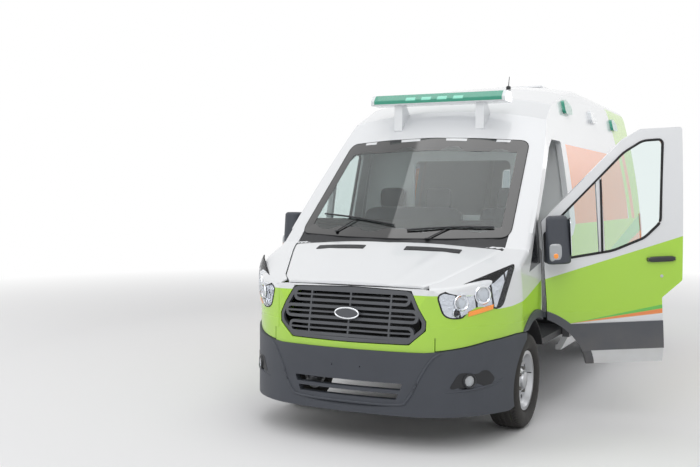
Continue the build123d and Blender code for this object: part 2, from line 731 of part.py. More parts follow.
# Rear doors and their glass
for side, name in ((1, "left"), (-1, "right")):
    with BuildPart() as rear_door:
        add(SHELL)
        add(front_prism(rear_door_outline(side), BODY_LENGTH - WALL, LENGTH), mode=Mode.INTERSECT)
        add(front_prism(rear_window_outline(side), BODY_LENGTH - 200, LENGTH, radius=45), mode=Mode.SUBTRACT)
        if side > 0:
            add(box((40, 250), (BODY_LENGTH - 5, BODY_LENGTH + 16), (1090, 1140)))
    save(rear_door.part, f"{name}_rear_door")
    window = front_prism(rear_window_outline(side), BODY_LENGTH - 200, LENGTH, radius=43, grow=-SEAL)
    save(pane(window), f"{name}_rear_glass")

# Tail lamps, proud of the rear corners
with BuildPart() as tail_lamps:
    for side in (1, -1):
        add(front_prism(tail_lamp_outline(side), BODY_LENGTH - 70, BODY_LENGTH + 8))
    with BuildSketch(across(BODY_LENGTH + 8)):
        add(section_face(-6))
    extrude(amount=200, mode=Mode.INTERSECT)
save(tail_lamps.part, "tail_lamps")

# Rear step
with BuildPart() as rear_step:
    with BuildSketch(Plane.XY.offset(up(STEP_LOW))) as step_plan:
        with BuildLine():
            Polyline(
                (-STEP_HALF, aft(RAIL_REAR)),
                (-STEP_HALF, aft(LENGTH - 60)),
                (-STEP_HALF + 70, aft(LENGTH)),
                (STEP_HALF - 70, aft(LENGTH)),
                (STEP_HALF, aft(LENGTH - 60)),
                (STEP_HALF, aft(RAIL_REAR)),
                close=True,
            )
        make_face()
    extrude(amount=STEP_HIGH - STEP_LOW)
    fillet(rear_step.edges().filter_by(Axis.X).group_by(Axis.Y)[-1], 14)
    with BuildSketch(Plane.XY.offset(up(STEP_HIGH))):
        with GridLocations(90, 1, 18, 1):
            with Locations((0, aft(LENGTH - 38))):
                SlotOverall(70, 12)
    extrude(amount=-4, mode=Mode.SUBTRACT)
save(rear_step.part, "rear_step")

# Chassis rails with floor bearers
with BuildPart() as chassis:
    for side in (1, -1):
        inner, outer = side * (RAIL_MID - RAIL_WIDTH / 2), side * (RAIL_MID + RAIL_WIDTH / 2)
        add(box((inner, outer), (RAIL_FRONT, RAIL_REAR), (RAIL_LOW, RAIL_TOP)))
    for back in (RAIL_FRONT + 60, 1900, 3100, REAR_AXLE_BACK - 623, REAR_AXLE_BACK + 647, RAIL_REAR - 60):
        add(box((-RAIL_MID, RAIL_MID), (back - 30, back + 30), (RAIL_LOW + 20, RAIL_TOP - 10)))
    carrier = STEP_HALF - 100
    add(box((-carrier, carrier), (RAIL_REAR - 90, RAIL_REAR - 30), (RAIL_LOW + 20, RAIL_TOP - 10)))
    for back in (2600, 3200, REAR_AXLE_BACK - 873, REAR_AXLE_BACK + 577, RAIL_REAR - 60):
        add(box((-920, 920), (back - 30, back + 30), (RAIL_TOP, FLOOR_HEIGHT - FLOOR_THICK)))
save(chassis.part, "chassis_frame")

# Load floor with rear wheel housings and the stretcher lock's four holes
FLOOR_END = BODY_LENGTH - WALL
FLOOR_SPACE = common(
    INNER, side_prism([(BULKHEAD_BACK, 300), (FLOOR_END, 300), (FLOOR_END, 3000), (BULKHEAD_BACK, 3000)])
)
REAR_LINER = arch_cylinder(REAR_AXLE_BACK, ARCH_RADIUS + LINER)
HOUSING_SPAN = (REAR_AXLE_BACK - 700, REAR_AXLE_BACK + 700)
HOUSING_RISE = (FLOOR_HEIGHT - FLOOR_THICK, 1300)
with BuildPart() as load_floor:
    add(box((-1100, 1100), (BULKHEAD_BACK, FLOOR_END - 2), (FLOOR_HEIGHT - FLOOR_THICK, FLOOR_HEIGHT)))
    add(without(REAR_LINER, box((-REAR_HOUSING, REAR_HOUSING), (0, 7000), (0, 3000))), mode=Mode.SUBTRACT)
    for side in (1, -1):
        add(
            common(
                without(REAR_LINER, REAR_ARCH),
                box((side * REAR_HOUSING, side * 1100), HOUSING_SPAN, HOUSING_RISE),
            )
        )
        add(
            common(
                copy.deepcopy(REAR_LINER),
                box((side * (REAR_HOUSING - LINER), side * REAR_HOUSING), HOUSING_SPAN, HOUSING_RISE),
            )
        )
    add(FLOOR_SPACE, mode=Mode.INTERSECT)
    with Locations((0, 0, 0)):
        with GridLocations(LOCK_BOLTS_ACROSS, LOCK_BOLTS_ALONG, 2, 2):
            Cylinder(LOCK_BOLT_RADIUS, 4 * FLOOR_THICK, mode=Mode.SUBTRACT)
save(load_floor.part, "load_floor")

# Bulkhead with its window
with BuildPart() as bulkhead:
    add(box((-1100, 1100), (BULKHEAD_BACK, BULKHEAD_BACK + 25), (FLOOR_HEIGHT, 3000)))
    add(INNER, mode=Mode.INTERSECT)
    with BuildSketch(across(BULKHEAD_BACK + 60)):
        with Locations((0, up(1760))):
            RectangleRounded(900, 480, 50)
    extrude(amount=120, mode=Mode.SUBTRACT)
save(bulkhead.part, "bulkhead")

# Dashboard with the steering column
with BuildPart() as dashboard:
    face = FIREWALL_BACK + 25
    add(side_prism([(face, 960), (face, 1330), (1330, 1330), (1480, 1270), (1500, 1120), (1400, 980)]))
    add(CAB_SPACE, mode=Mode.INTERSECT)
    add(HOUSING_TOOLS, mode=Mode.SUBTRACT)
    add(box((-1100, -945), (1100, 1600), (300, 1500)), mode=Mode.SUBTRACT)
    add(box((945, 1100), (1100, 1600), (300, 1500)), mode=Mode.SUBTRACT)
    add(CAB_FLOOR, mode=Mode.SUBTRACT)
    with BuildSketch(column_plane(-260)):
        Circle(42)
    extrude(amount=260 - COLUMN_GAP)
    with BuildSketch(column_plane(-260)):
        Circle(12)
    extrude(amount=260 + 24)
save(dashboard.part, "dashboard")

# Steering wheel
with BuildPart() as steering_wheel:
    with BuildSketch(Plane(origin=column_plane(30).origin, x_dir=column_plane(30).z_dir, z_dir=(1, 0, 0))):
        with Locations((0, 190)):
            Ellipse(15, 13)
    revolve(axis=Axis(column_plane(30).origin, column_plane(30).z_dir))
    with BuildSketch(column_plane(0)):
        Circle(62)
    extrude(amount=42)
    with BuildSketch(column_plane(18)):
        for angle in (0, 90, 180):
            with Locations(Location((0, 0, 0), (0, 0, -angle))):
                with Locations((95, 0)):
                    Rectangle(190, 34)
    extrude(amount=18)
    with BuildSketch(column_plane(-1)):
        Circle(12 + STUB_CLEAR)
    extrude(amount=28, mode=Mode.SUBTRACT)
save(steering_wheel.part, "steering_wheel")

# Cab seats: (name, middle, half width)
for name, middle, half_width in (("driver_seat", 480, 250), ("passenger_bench", -400, 470)):
    with BuildPart() as seat:
        add(box((middle - half_width + 40, middle + half_width - 40), (1640, 2060), (CAB_FLOOR_HEIGHT, 930)))
        with BuildSketch(Plane.YZ.offset(middle - half_width)):
            profile = ((1590, 930), (2110, 930), (2250, 1560), (2150, 1580), (2020, 1070), (1590, 1080))
            Polygon(*side_points(*profile), align=None)
            fillet(vertices(), 24)
        extrude(amount=2 * half_width)
        for head in ((middle,) if half_width < 300 else (middle - 220, middle + 220)):
            add(box((head - 120, head + 120), (2165, 2255), (1560, 1760)))
    save(seat.part, name)

# Patient space: cabinet along the left wall and the attendant's bench
with BuildPart() as cabinet:
    add(box((560, 1100), (2500, REAR_AXLE_BACK - 543), (FLOOR_HEIGHT, 1180)))
    add(FLOOR_SPACE, mode=Mode.INTERSECT)
    for middle in (2790, 3365, 3940):
        add(box((540, 566), (middle - 270, middle + 270), (FLOOR_HEIGHT + 60, 1140)), mode=Mode.SUBTRACT)
save(cabinet.part, "patient_cabinet")
with BuildPart() as bench:
    add(box((-880, -520), (3720, 4240), (FLOOR_HEIGHT, 1120)))
    with BuildSketch(across(4240)):
        Polygon(*front_points((-900, 1120), (-790, 1120), (-770, 1700), (-855, 1700)), align=None)
    extrude(amount=520)
    add(FLOOR_SPACE, mode=Mode.INTERSECT)
save(bench.part, "attendant_bench")

# Light bar on two brackets
with BuildPart() as light_bar:
    with BuildSketch(Plane.YZ.offset(-BAR_HALF)):
        with BuildLine():
            profile = ((1650, 2452), (1836, 2452), (1842, 2490), (1800, 2540), (1690, 2540), (1644, 2490))
            Polyline(*side_points(*profile), close=True)
        make_face()
        fillet(vertices(), 12)
    extrude(amount=2 * BAR_HALF)
    for side in (1, -1):
        with BuildSketch(Plane.YZ.offset(side * BRACKET_HALF - 35)):
            profile = side_points((1700, 2453), (1800, 2453), (1930, 2330), (1780, 2190), (1700, 2240))
            Polygon(*profile, align=None)
        extrude(amount=70)
    add(OUTER, mode=Mode.SUBTRACT)
save(light_bar.part, "light_bar")

# Roof side lamps: (behind the nose, above the ground)
with BuildPart() as side_lamps:
    for back, height in SIDE_LAMPS:
        with BuildSketch(Plane.YZ):
            drop_shape = ((-150, -62), (120, -55), (150, 20), (-20, 72), (-120, 55))
            Polygon(*side_points(*[(back + y, height + z) for y, z in drop_shape]), align=None)
            fillet(vertices(), 34)
        extrude(amount=1200, both=True)
    add(envelope(-30), mode=Mode.INTERSECT)
    add(OUTER, mode=Mode.SUBTRACT)
save(side_lamps.part, "side_lamps")

# Roof vent
with BuildPart() as roof_vent:
    with BuildSketch(Plane.XY.offset(up(CROWN_HEIGHT - 60))):
        with Locations((0, aft(4350))):
            RectangleRounded(560, 620, 60)
    extrude(amount=130, taper=6)
    fillet(roof_vent.edges().group_by(Axis.Z)[-1], 24)
    add(OUTER, mode=Mode.SUBTRACT)
save(roof_vent.part, "roof_vent")

# Engine, as one block, and the radiator in front of it
with BuildPart() as radiator:
    add(box((-RAIL_MID - 35, RAIL_MID + 35), (RAIL_FRONT - 60, RAIL_FRONT), (RAIL_LOW + 10, 1000)))
    add(box((-330, 330), (RAIL_FRONT - 68, RAIL_FRONT - 60), (RAIL_LOW + 60, 950)))
save(radiator.part, "radiator")
with BuildPart() as engine:
    add(box((-300, 300), (370, 960), (RAIL_LOW, 960)))
    chamfer(engine.edges().filter_by(Axis.Y), 40)
save(engine.part, "engine")

# Front subframe: radiator carrier, crossmember, engine bearers, lower arms and kingpins
with BuildPart() as subframe:
    add(box((-RAIL_MID - 60, RAIL_MID + 60), (FRONT_OVERHANG - 90, FRONT_OVERHANG + 90), (300, RAIL_LOW)))
    add(box((-300, 300), (FRONT_OVERHANG - 180, FRONT_OVERHANG - 60), (330, RAIL_LOW)))
    for side in (1, -1):
        arm = (FRONT_OVERHANG - 32, FRONT_OVERHANG + 32)
        add(box((side * 380, side * (KINGPIN_HALF + 22)), arm, (ARM_LOW, ARM_LOW + 30)))
        add(box((side * 380, side * 450), (FRONT_OVERHANG - 60, FRONT_OVERHANG + 60), (ARM_LOW, 320)))
        with Locations((side * KINGPIN_HALF, FRONT_AXLE, up((ARM_LOW + KINGPIN_TOP) / 2))):
            Cylinder(KINGPIN_RADIUS, KINGPIN_TOP - ARM_LOW)
save(subframe.part, "front_subframe")

# Knuckles with their stub axles
for side, name in ((1, "left"), (-1, "right")):
    with BuildPart() as knuckle:
        with Locations((side * KINGPIN_HALF, FRONT_AXLE, HUB_HEIGHT + 10)):
            Cylinder(30, 2 * (LOADED_RADIUS - ARM_LOW - 30 - 8))
        with Locations(Location((side * (KINGPIN_HALF + 25), FRONT_AXLE, HUB_HEIGHT), (0, 90, 0))):
            Cylinder(52, 30)
        with Locations(Location((side * (KINGPIN_HALF + 45), FRONT_AXLE, HUB_HEIGHT), (0, 90, 0))):
            Cylinder(STUB_RADIUS, 100)
        steering_arm = (FRONT_OVERHANG + 10, FRONT_OVERHANG + 130)
        add(box((side * (KINGPIN_HALF - 60), side * KINGPIN_HALF), steering_arm, (330, 360)))
        with Locations((side * KINGPIN_HALF, FRONT_AXLE, HUB_HEIGHT)):
            Cylinder(KINGPIN_RADIUS + STUB_CLEAR, 600, mode=Mode.SUBTRACT)
    save(knuckle.part, f"{name}_knuckle")

# Rear axle with its leaf springs
with BuildPart() as rear_axle:
    with Locations(Location((0, REAR_AXLE, HUB_HEIGHT), (0, 90, 0))):
        Cylinder(52, 2 * REAR_BEAM_HALF)
        Cylinder(STUB_RADIUS, 2 * (HALF_TRACK + 25))
        Cylinder(105, 200)
    for side in (1, -1):
        with BuildSketch(Plane.YZ.offset(side * RAIL_MID - 32)):
            with BuildLine():
                fore, back = REAR_AXLE - 720, REAR_AXLE + 720
                seat_height = up(RAIL_LOW)
                outer_arc = ThreePointArc((fore, up(400)), (REAR_AXLE, up(246)), (back, up(400)))
                Polyline(outer_arc @ 1, (back, seat_height), (back - 60, seat_height))
                inner_start, inner_end = (back - 60, seat_height), (fore + 60, seat_height)
                inner_arc = ThreePointArc(inner_start, (REAR_AXLE, up(300)), inner_end)
                Polyline(inner_arc @ 1, (fore, seat_height), outer_arc @ 0)
            make_face()
        extrude(amount=64)
save(rear_axle.part, "rear_axle")

# Fuel tank between the rails
with BuildPart() as tank:
    add(box((-340, 340), (2300, 3000), (330, 540)))
    fillet(tank.edges().filter_by(Axis.Y), 40)
save(tank.part, "fuel_tank")

# Wheels and tyres: (name, side, axle)
for name, side, axle in (
    ("front_left", 1, FRONT_AXLE),
    ("front_right", -1, FRONT_AXLE),
    ("rear_left", 1, REAR_AXLE),
    ("rear_right", -1, REAR_AXLE),
):
    hub_axis = Axis((side * HALF_TRACK, axle, HUB_HEIGHT), (1, 0, 0))
    # rim profile: (outward from the wheel's middle, radius)
    profile = [
        (-98, 216), (-90, 216), (-90, 196), (-60, 184), (58, 184), (84, 196), (84, 216), (92, 216),
        (92, 192), (64, 176), (52, 168), (46, 120), (50, 92), (70, 74), (70, 25), (30, 25),
        (30, 78), (34, 120), (38, 172), (-62, 176), (-98, 190),
    ]
    with BuildPart() as wheel:
        with BuildSketch(Plane(origin=(0, axle, HUB_HEIGHT), x_dir=(1, 0, 0), z_dir=(0, -1, 0))):
            Polygon(*[(side * (HALF_TRACK + x), r + STUB_CLEAR * (r == 25)) for x, r in profile], align=None)
        revolve(axis=hub_axis)
        disc = Plane(origin=(side * (HALF_TRACK + 20), axle, HUB_HEIGHT), x_dir=(0, 1, 0), z_dir=(side, 0, 0))
        with BuildSketch(disc):
            with PolarLocations(138, RIM_HOLES):
                SlotOverall(38, 26, rotation=90)
        extrude(amount=60, mode=Mode.SUBTRACT)
    save(wheel.part, f"{name}_wheel")
    with BuildPart() as tyre:
        with BuildSketch(Plane(origin=(0, axle, HUB_HEIGHT), x_dir=(1, 0, 0), z_dir=(0, -1, 0))):
            with BuildLine():
                middle = side * HALF_TRACK
                inner_side = ThreePointArc((middle - 88, 216.3), (middle - 117, 276), (middle - 92, 338))
                top_arc = ThreePointArc(inner_side @ 1, (middle, TYRE_RADIUS), (middle + 92, 338))
                outer_side = ThreePointArc(top_arc @ 1, (middle + 117, 276), (middle + 88, 216.3))
                Line(outer_side @ 1, inner_side @ 0)
            make_face()
            with GridLocations(46, 1, 3, 1):
                with Locations((middle, 345)):
                    Rectangle(9, 22, mode=Mode.SUBTRACT)
        revolve(axis=hub_axis)
    save(tyre.part, f"{name}_tyre")
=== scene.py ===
import json
import logging
import math
from dataclasses import dataclass
from enum import Enum
from typing import Callable, Optional, Sequence

import bmesh
import bpy
import numpy as np
from mathutils import Matrix, Vector


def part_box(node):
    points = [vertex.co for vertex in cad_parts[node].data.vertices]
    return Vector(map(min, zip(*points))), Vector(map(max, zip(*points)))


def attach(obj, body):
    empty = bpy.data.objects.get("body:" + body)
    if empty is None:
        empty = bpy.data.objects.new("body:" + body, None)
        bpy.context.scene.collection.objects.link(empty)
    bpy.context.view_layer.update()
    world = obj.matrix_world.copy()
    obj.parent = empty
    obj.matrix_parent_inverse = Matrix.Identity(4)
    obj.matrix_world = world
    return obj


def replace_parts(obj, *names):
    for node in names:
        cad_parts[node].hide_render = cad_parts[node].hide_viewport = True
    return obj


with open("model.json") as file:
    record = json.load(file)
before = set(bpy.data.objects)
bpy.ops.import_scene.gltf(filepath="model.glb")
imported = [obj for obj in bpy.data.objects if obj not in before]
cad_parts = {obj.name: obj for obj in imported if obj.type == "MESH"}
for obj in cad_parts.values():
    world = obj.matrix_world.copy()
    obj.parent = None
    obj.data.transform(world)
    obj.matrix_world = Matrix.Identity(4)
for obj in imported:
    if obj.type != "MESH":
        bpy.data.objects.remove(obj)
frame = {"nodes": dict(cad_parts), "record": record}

log = logging.getLogger("ambulance")

LOAD_FLOOR = 0.700  # load floor above the ground, m
LOCK_BEHIND_NOSE = 4.100
FRONT_AXLE, REAR_AXLE, HUB = 1.023, 4.773, 0.346  # behind the nose and above the ground
HALF_TRACK = 0.866
DOOR_OPEN = math.radians(68.0)
SCREEN_FOOT = (0.750, 1.372)  # middle of the windscreen's lower edge
SCREEN_SLOPE = math.radians(42.8)
SCREEN_RADIUS = 3.600

RGB = tuple[float, float, float]
Pair = tuple[float, float]
Array = np.ndarray
Surface = tuple[Array, list[list[int]]]
Socket = bpy.types.NodeSocket
Material = bpy.types.Material


def aft(distance: float) -> float:
    """Y of a place this many metres behind the nose."""
    return distance - LOCK_BEHIND_NOSE


def up(height: float) -> float:
    """Z of a height in metres above the ground."""
    return height - LOAD_FLOOR


class Side(Enum):
    """The vehicle's two sides, with the sign of X."""

    LEFT = 1
    RIGHT = -1

    @property
    def label(self) -> str:
        """The side's word in a piece's name."""
        return self.name.lower()


# each wheel's side and its axle's distance behind the nose
CORNERS = {
    "front_left": (Side.LEFT, FRONT_AXLE),
    "front_right": (Side.RIGHT, FRONT_AXLE),
    "rear_left": (Side.LEFT, REAR_AXLE),
    "rear_right": (Side.RIGHT, REAR_AXLE),
}

# Shader building


class Shader:
    """A node material under construction, with short ways to do arithmetic on its coordinates."""

    def __init__(self, name: str) -> None:
        """Starts a Principled material.

        Args:
            name: the material's name.
        """
        self.material = bpy.data.materials.new(name)
        self.material.use_nodes = True
        self.tree = self.material.node_tree
        self.surface = self.tree.nodes["Principled BSDF"]
        self.point = self.tree.nodes.new("ShaderNodeTexCoord").outputs["Object"]

    def node(self, kind: str, **settings: object) -> bpy.types.Node:
        """A new node.

        Args:
            kind: the node's type, without its leading word.
            settings: the node's own properties.

        Returns:
            The node.
        """
        made = self.tree.nodes.new("ShaderNode" + kind)
        for key, value in settings.items():
            setattr(made, key, value)
        return made

    def feed(self, value: object, socket: Socket) -> None:
        """Links an output to a socket, or sets a plain number or colour on it.

        Args:
            value: output, number or colour.
            socket: the input that takes it.
        """
        if isinstance(value, Socket):
            self.tree.links.new(value, socket)
        elif isinstance(value, (int, float)):
            socket.default_value = float(value)
        else:
            socket.default_value = (*value, 1.0)[: len(socket.default_value)]

    def calc(self, operation: str, first: object, second: object = 0.0, third: object = 0.0) -> Socket:
        """One Math node.

        Args:
            operation: the node's operation.
            first: number or output.
            second: number or output.
            third: number or output.

        Returns:
            The node's output.
        """
        node = self.node("Math", operation=operation)
        for value, socket in zip((first, second, third), node.inputs):
            self.feed(value, socket)
        return node.outputs[0]

    def above(self, value: object, edge: object, soft: float = 0.0015) -> Socket:
        """A mask that rises from 0 to 1 as a value passes an edge.

        Args:
            value: number or output.
            edge: where the mask is a half.
            soft: half the width of the rise.

        Returns:
            The mask.
        """
        node = self.node("Clamp")
        lift = self.calc("MULTIPLY_ADD", self.calc("SUBTRACT", value, edge), 0.5 / soft, 0.5)
        self.feed(lift, node.inputs["Value"])
        return node.outputs[0]

    def between(self, value: object, low: object, high: object, soft: float = 0.0015) -> Socket:
        """A mask that is 1 from low to high."""
        return self.calc("MULTIPLY", self.above(value, low, soft), self.above(high, value, soft))

    def both(self, *masks: object) -> Socket:
        """The product of masks.

        Args:
            masks: numbers or outputs.

        Returns:
            The product.
        """
        total = masks[0]
        for mask in masks[1:]:
            total = self.calc("MULTIPLY", total, mask)
        return total

    def either(self, *masks: object) -> Socket:
        """The largest of masks.

        Args:
            masks: numbers or outputs.

        Returns:
            The largest.
        """
        total = masks[0]
        for mask in masks[1:]:
            total = self.calc("MAXIMUM", total, mask)
        return total

    def blend(self, share: object, under: object, over: object) -> Socket:
        """Mixes two colours.

        Args:
            share: how much of the second shows.
            under: the first colour.
            over: the second colour.

        Returns:
            The mixed colour.
        """
        node = self.node("Mix", data_type="RGBA")
        for value, place in ((share, 0), (under, 6), (over, 7)):
            self.feed(value, node.inputs[place])
        return node.outputs[2]

    def noise(self, scale: float, detail: float = 3.0, point: object = None) -> Socket:
        """Noise over the Object coordinates.

        Args:
            scale: how fine it is.
            detail: octaves.
            point: other coordinates, where given.

        Returns:
            A number near 0.5.
        """
        node = self.node("TexNoise")
        self.feed(point or self.point, node.inputs["Vector"])
        node.inputs["Scale"].default_value = scale
        node.inputs["Detail"].default_value = detail
        return node.outputs["Fac"]

    def axes(self, point: object = None) -> tuple[Socket, ...]:
        """The numbers of a point that patterns are laid out by.

        Args:
            point: other coordinates than the piece's own, where given.

        Returns:
            Absolute X, distance behind the nose, height above the ground, and X itself.
        """
        node = self.node("SeparateXYZ")
        self.feed(point or self.point, node.inputs[0])
        x, y, z = node.outputs
        return (
            self.calc("ABSOLUTE", x),
            self.calc("ADD", y, LOCK_BEHIND_NOSE),
            self.calc("ADD", z, LOAD_FLOOR),
            x,
        )

    def turned(self, vector: object, turn: Matrix, shift: Optional[Vector] = None) -> Socket:
        """Coordinates turned, and moved where they are a place and not a direction.

        Args:
            vector: the coordinates.
            turn: the rotation.
            shift: the move after it, left out for a direction.

        Returns:
            The new coordinates.
        """
        node = self.node("Mapping")
        if shift is None:
            node.vector_type = "VECTOR"
        else:
            node.inputs["Location"].default_value = shift
        self.feed(vector, node.inputs["Vector"])
        node.inputs["Rotation"].default_value = turn.to_euler("XYZ")
        return node.outputs[0]

    def bump(self, height: object, distance: float, strength: float = 1.0) -> None:
        """Sets the surface's normal from a height.

        Args:
            height: the height, as an output.
            distance: metres for a height of 1.
            strength: share of the bump that shows.
        """
        node = self.node("Bump")
        node.inputs["Distance"].default_value = distance
        node.inputs["Strength"].default_value = strength
        self.feed(height, node.inputs["Height"])
        self.feed(node.outputs[0], self.surface.inputs["Normal"])

    def curve(self, value: object, points: Sequence[Pair]) -> Socket:
        """A number that follows straight runs, as a sum of clamped slopes.

        Args:
            value: the place along the runs.
            points: (value, result) pairs.

        Returns:
            The result.
        """
        total: object = points[0][1]
        for (a, p), (b, q) in zip(points, points[1:]):
            ramp = self.node("MapRange", clamp=True)
            self.feed(value, ramp.inputs["Value"])
            for key, number in (("From Min", a), ("From Max", b), ("To Min", 0.0), ("To Max", q - p)):
                ramp.inputs[key].default_value = number
            total = self.calc("ADD", total, ramp.outputs[0])
        return total

    def set(self, **values: object) -> None:
        """Sets sockets of the surface by name, underscores for spaces."""
        for key, value in values.items():
            self.feed(value, self.surface.inputs[key.replace("_", " ")])

    def lens(self, colour: object, rough: object = 0.10) -> None:
        """Sets a glossy coated lens of a colour."""
        self.set(Base_Color=colour, Roughness=rough, Coat_Weight=1.0, Coat_Roughness=0.03)


@dataclass(frozen=True)
class Finish:
    """A plain finish: one colour with fine variation, grain and wear."""

    name: str
    colour: RGB
    rough: float = 0.5
    metal: float = 0.0
    coat: float = 0.0
    vary: float = 0.12
    vary_scale: float = 6.0
    grain: float = 0.0
    grain_scale: float = 900.0
    clear: float = 0.0
    index: float = 1.45
    glow: float = 0.0
    sheen: float = 0.0

    def build(self) -> Material:
        """The material, made once and then shared.

        Returns:
            The material.
        """
        if self.name in bpy.data.materials:
            return bpy.data.materials[self.name]
        shader = Shader(self.name)
        patch = shader.noise(self.vary_scale, 4.0)
        dark = tuple(c * (1.0 - self.vary) for c in self.colour)
        light = tuple(min(1.0, c * (1.0 + self.vary)) for c in self.colour)
        shader.set(Base_Color=shader.blend(patch, dark, light))
        worn = shader.noise(self.vary_scale * 7.0, 2.0)
        rough = shader.calc("MULTIPLY_ADD", worn, 0.16 * self.rough, 0.92 * self.rough)
        shader.set(Roughness=rough, Metallic=self.metal, IOR=self.index)
        shader.set(Coat_Weight=self.coat, Coat_Roughness=0.06)
        if self.clear:
            shader.set(Transmission_Weight=self.clear)
        if self.sheen:
            shader.set(Sheen_Weight=self.sheen)
        if self.glow:
            shader.set(Emission_Color=self.colour, Emission_Strength=self.glow)
        if self.grain:
            shader.bump(shader.noise(self.grain_scale, 2.0), self.grain)
        return shader.material


TRIM_GREY = Finish("trim_grey", (0.058, 0.064, 0.078), 0.55, vary=0.10, grain=0.0004, grain_scale=700.0)
GRILLE_GREY = Finish("grille_grey", (0.085, 0.09, 0.10), 0.38, vary=0.10, coat=0.2)
BLACK_TRIM = Finish("black_trim", (0.016, 0.017, 0.02), 0.45, vary=0.15, grain=0.0003)
RUBBER = Finish("seal_rubber", (0.014, 0.014, 0.015), 0.75, vary=0.2, vary_scale=20.0)
FRIT = Finish("screen_border", (0.008, 0.008, 0.009), 0.08, vary=0.1, coat=1.0)
CHROME = Finish("bright_reflector", (0.82, 0.84, 0.87), 0.08, metal=1.0, vary=0.03)
SATIN_METAL = Finish("satin_metal", (0.52, 0.53, 0.55), 0.32, metal=1.0, vary=0.08)
WHEEL_SILVER = Finish("wheel_silver", (0.50, 0.51, 0.53), 0.34, metal=0.75, vary=0.08, coat=0.4)
DARK_METAL = Finish(
    "chassis_paint", (0.02, 0.02, 0.022), 0.55, vary=0.3, vary_scale=3.0, grain=0.0006, grain_scale=260.0
)
CAST = Finish(
    "bare_casting", (0.17, 0.165, 0.16), 0.6, metal=0.7, vary=0.3, grain=0.0008, grain_scale=300.0
)
GLASS = Finish("window_glass", (0.80, 0.88, 0.87), 0.015, clear=1.0, vary=0.01, index=1.45)
DARK_GLASS = Finish("rear_window_glass", (0.30, 0.34, 0.36), 0.03, clear=0.9, vary=0.02)
LENS = Finish("headlamp_lens", (0.97, 0.98, 1.0), 0.01, clear=1.0, vary=0.005, index=1.12)
LAMP_DARK = Finish("headlamp_bezel", (0.03, 0.032, 0.036), 0.3, vary=0.2)
AMBER = Finish("amber_lens", (0.95, 0.30, 0.03), 0.12, vary=0.08, coat=0.8, glow=0.12)
CLEAR_BULB = Finish("projector_glass", (0.90, 0.94, 0.98), 0.03, clear=0.6, vary=0.02, coat=1.0)
CAB_PLASTIC = Finish("cab_plastic", (0.045, 0.046, 0.052), 0.6, vary=0.12, grain=0.0005, grain_scale=500.0)
FLOOR_VINYL = Finish("floor_vinyl", (0.20, 0.22, 0.25), 0.55, vary=0.25, vary_scale=40.0, grain=0.0004)
LAMINATE = Finish("cabinet_laminate", (0.74, 0.76, 0.78), 0.35, vary=0.04, coat=0.3)
HANDLE_BLACK = Finish("handle_black", (0.022, 0.023, 0.026), 0.35, vary=0.1, coat=0.3)
CLOTH = Finish(
    "woven_cloth", (0.035, 0.037, 0.045), 0.9, vary=0.25, vary_scale=60.0, grain=0.0012,
    grain_scale=420.0, sheen=0.4,
)
VINYL_SEAT = Finish(
    "attendant_vinyl", (0.10, 0.16, 0.22), 0.45, vary=0.08, grain=0.0004, grain_scale=320.0
)


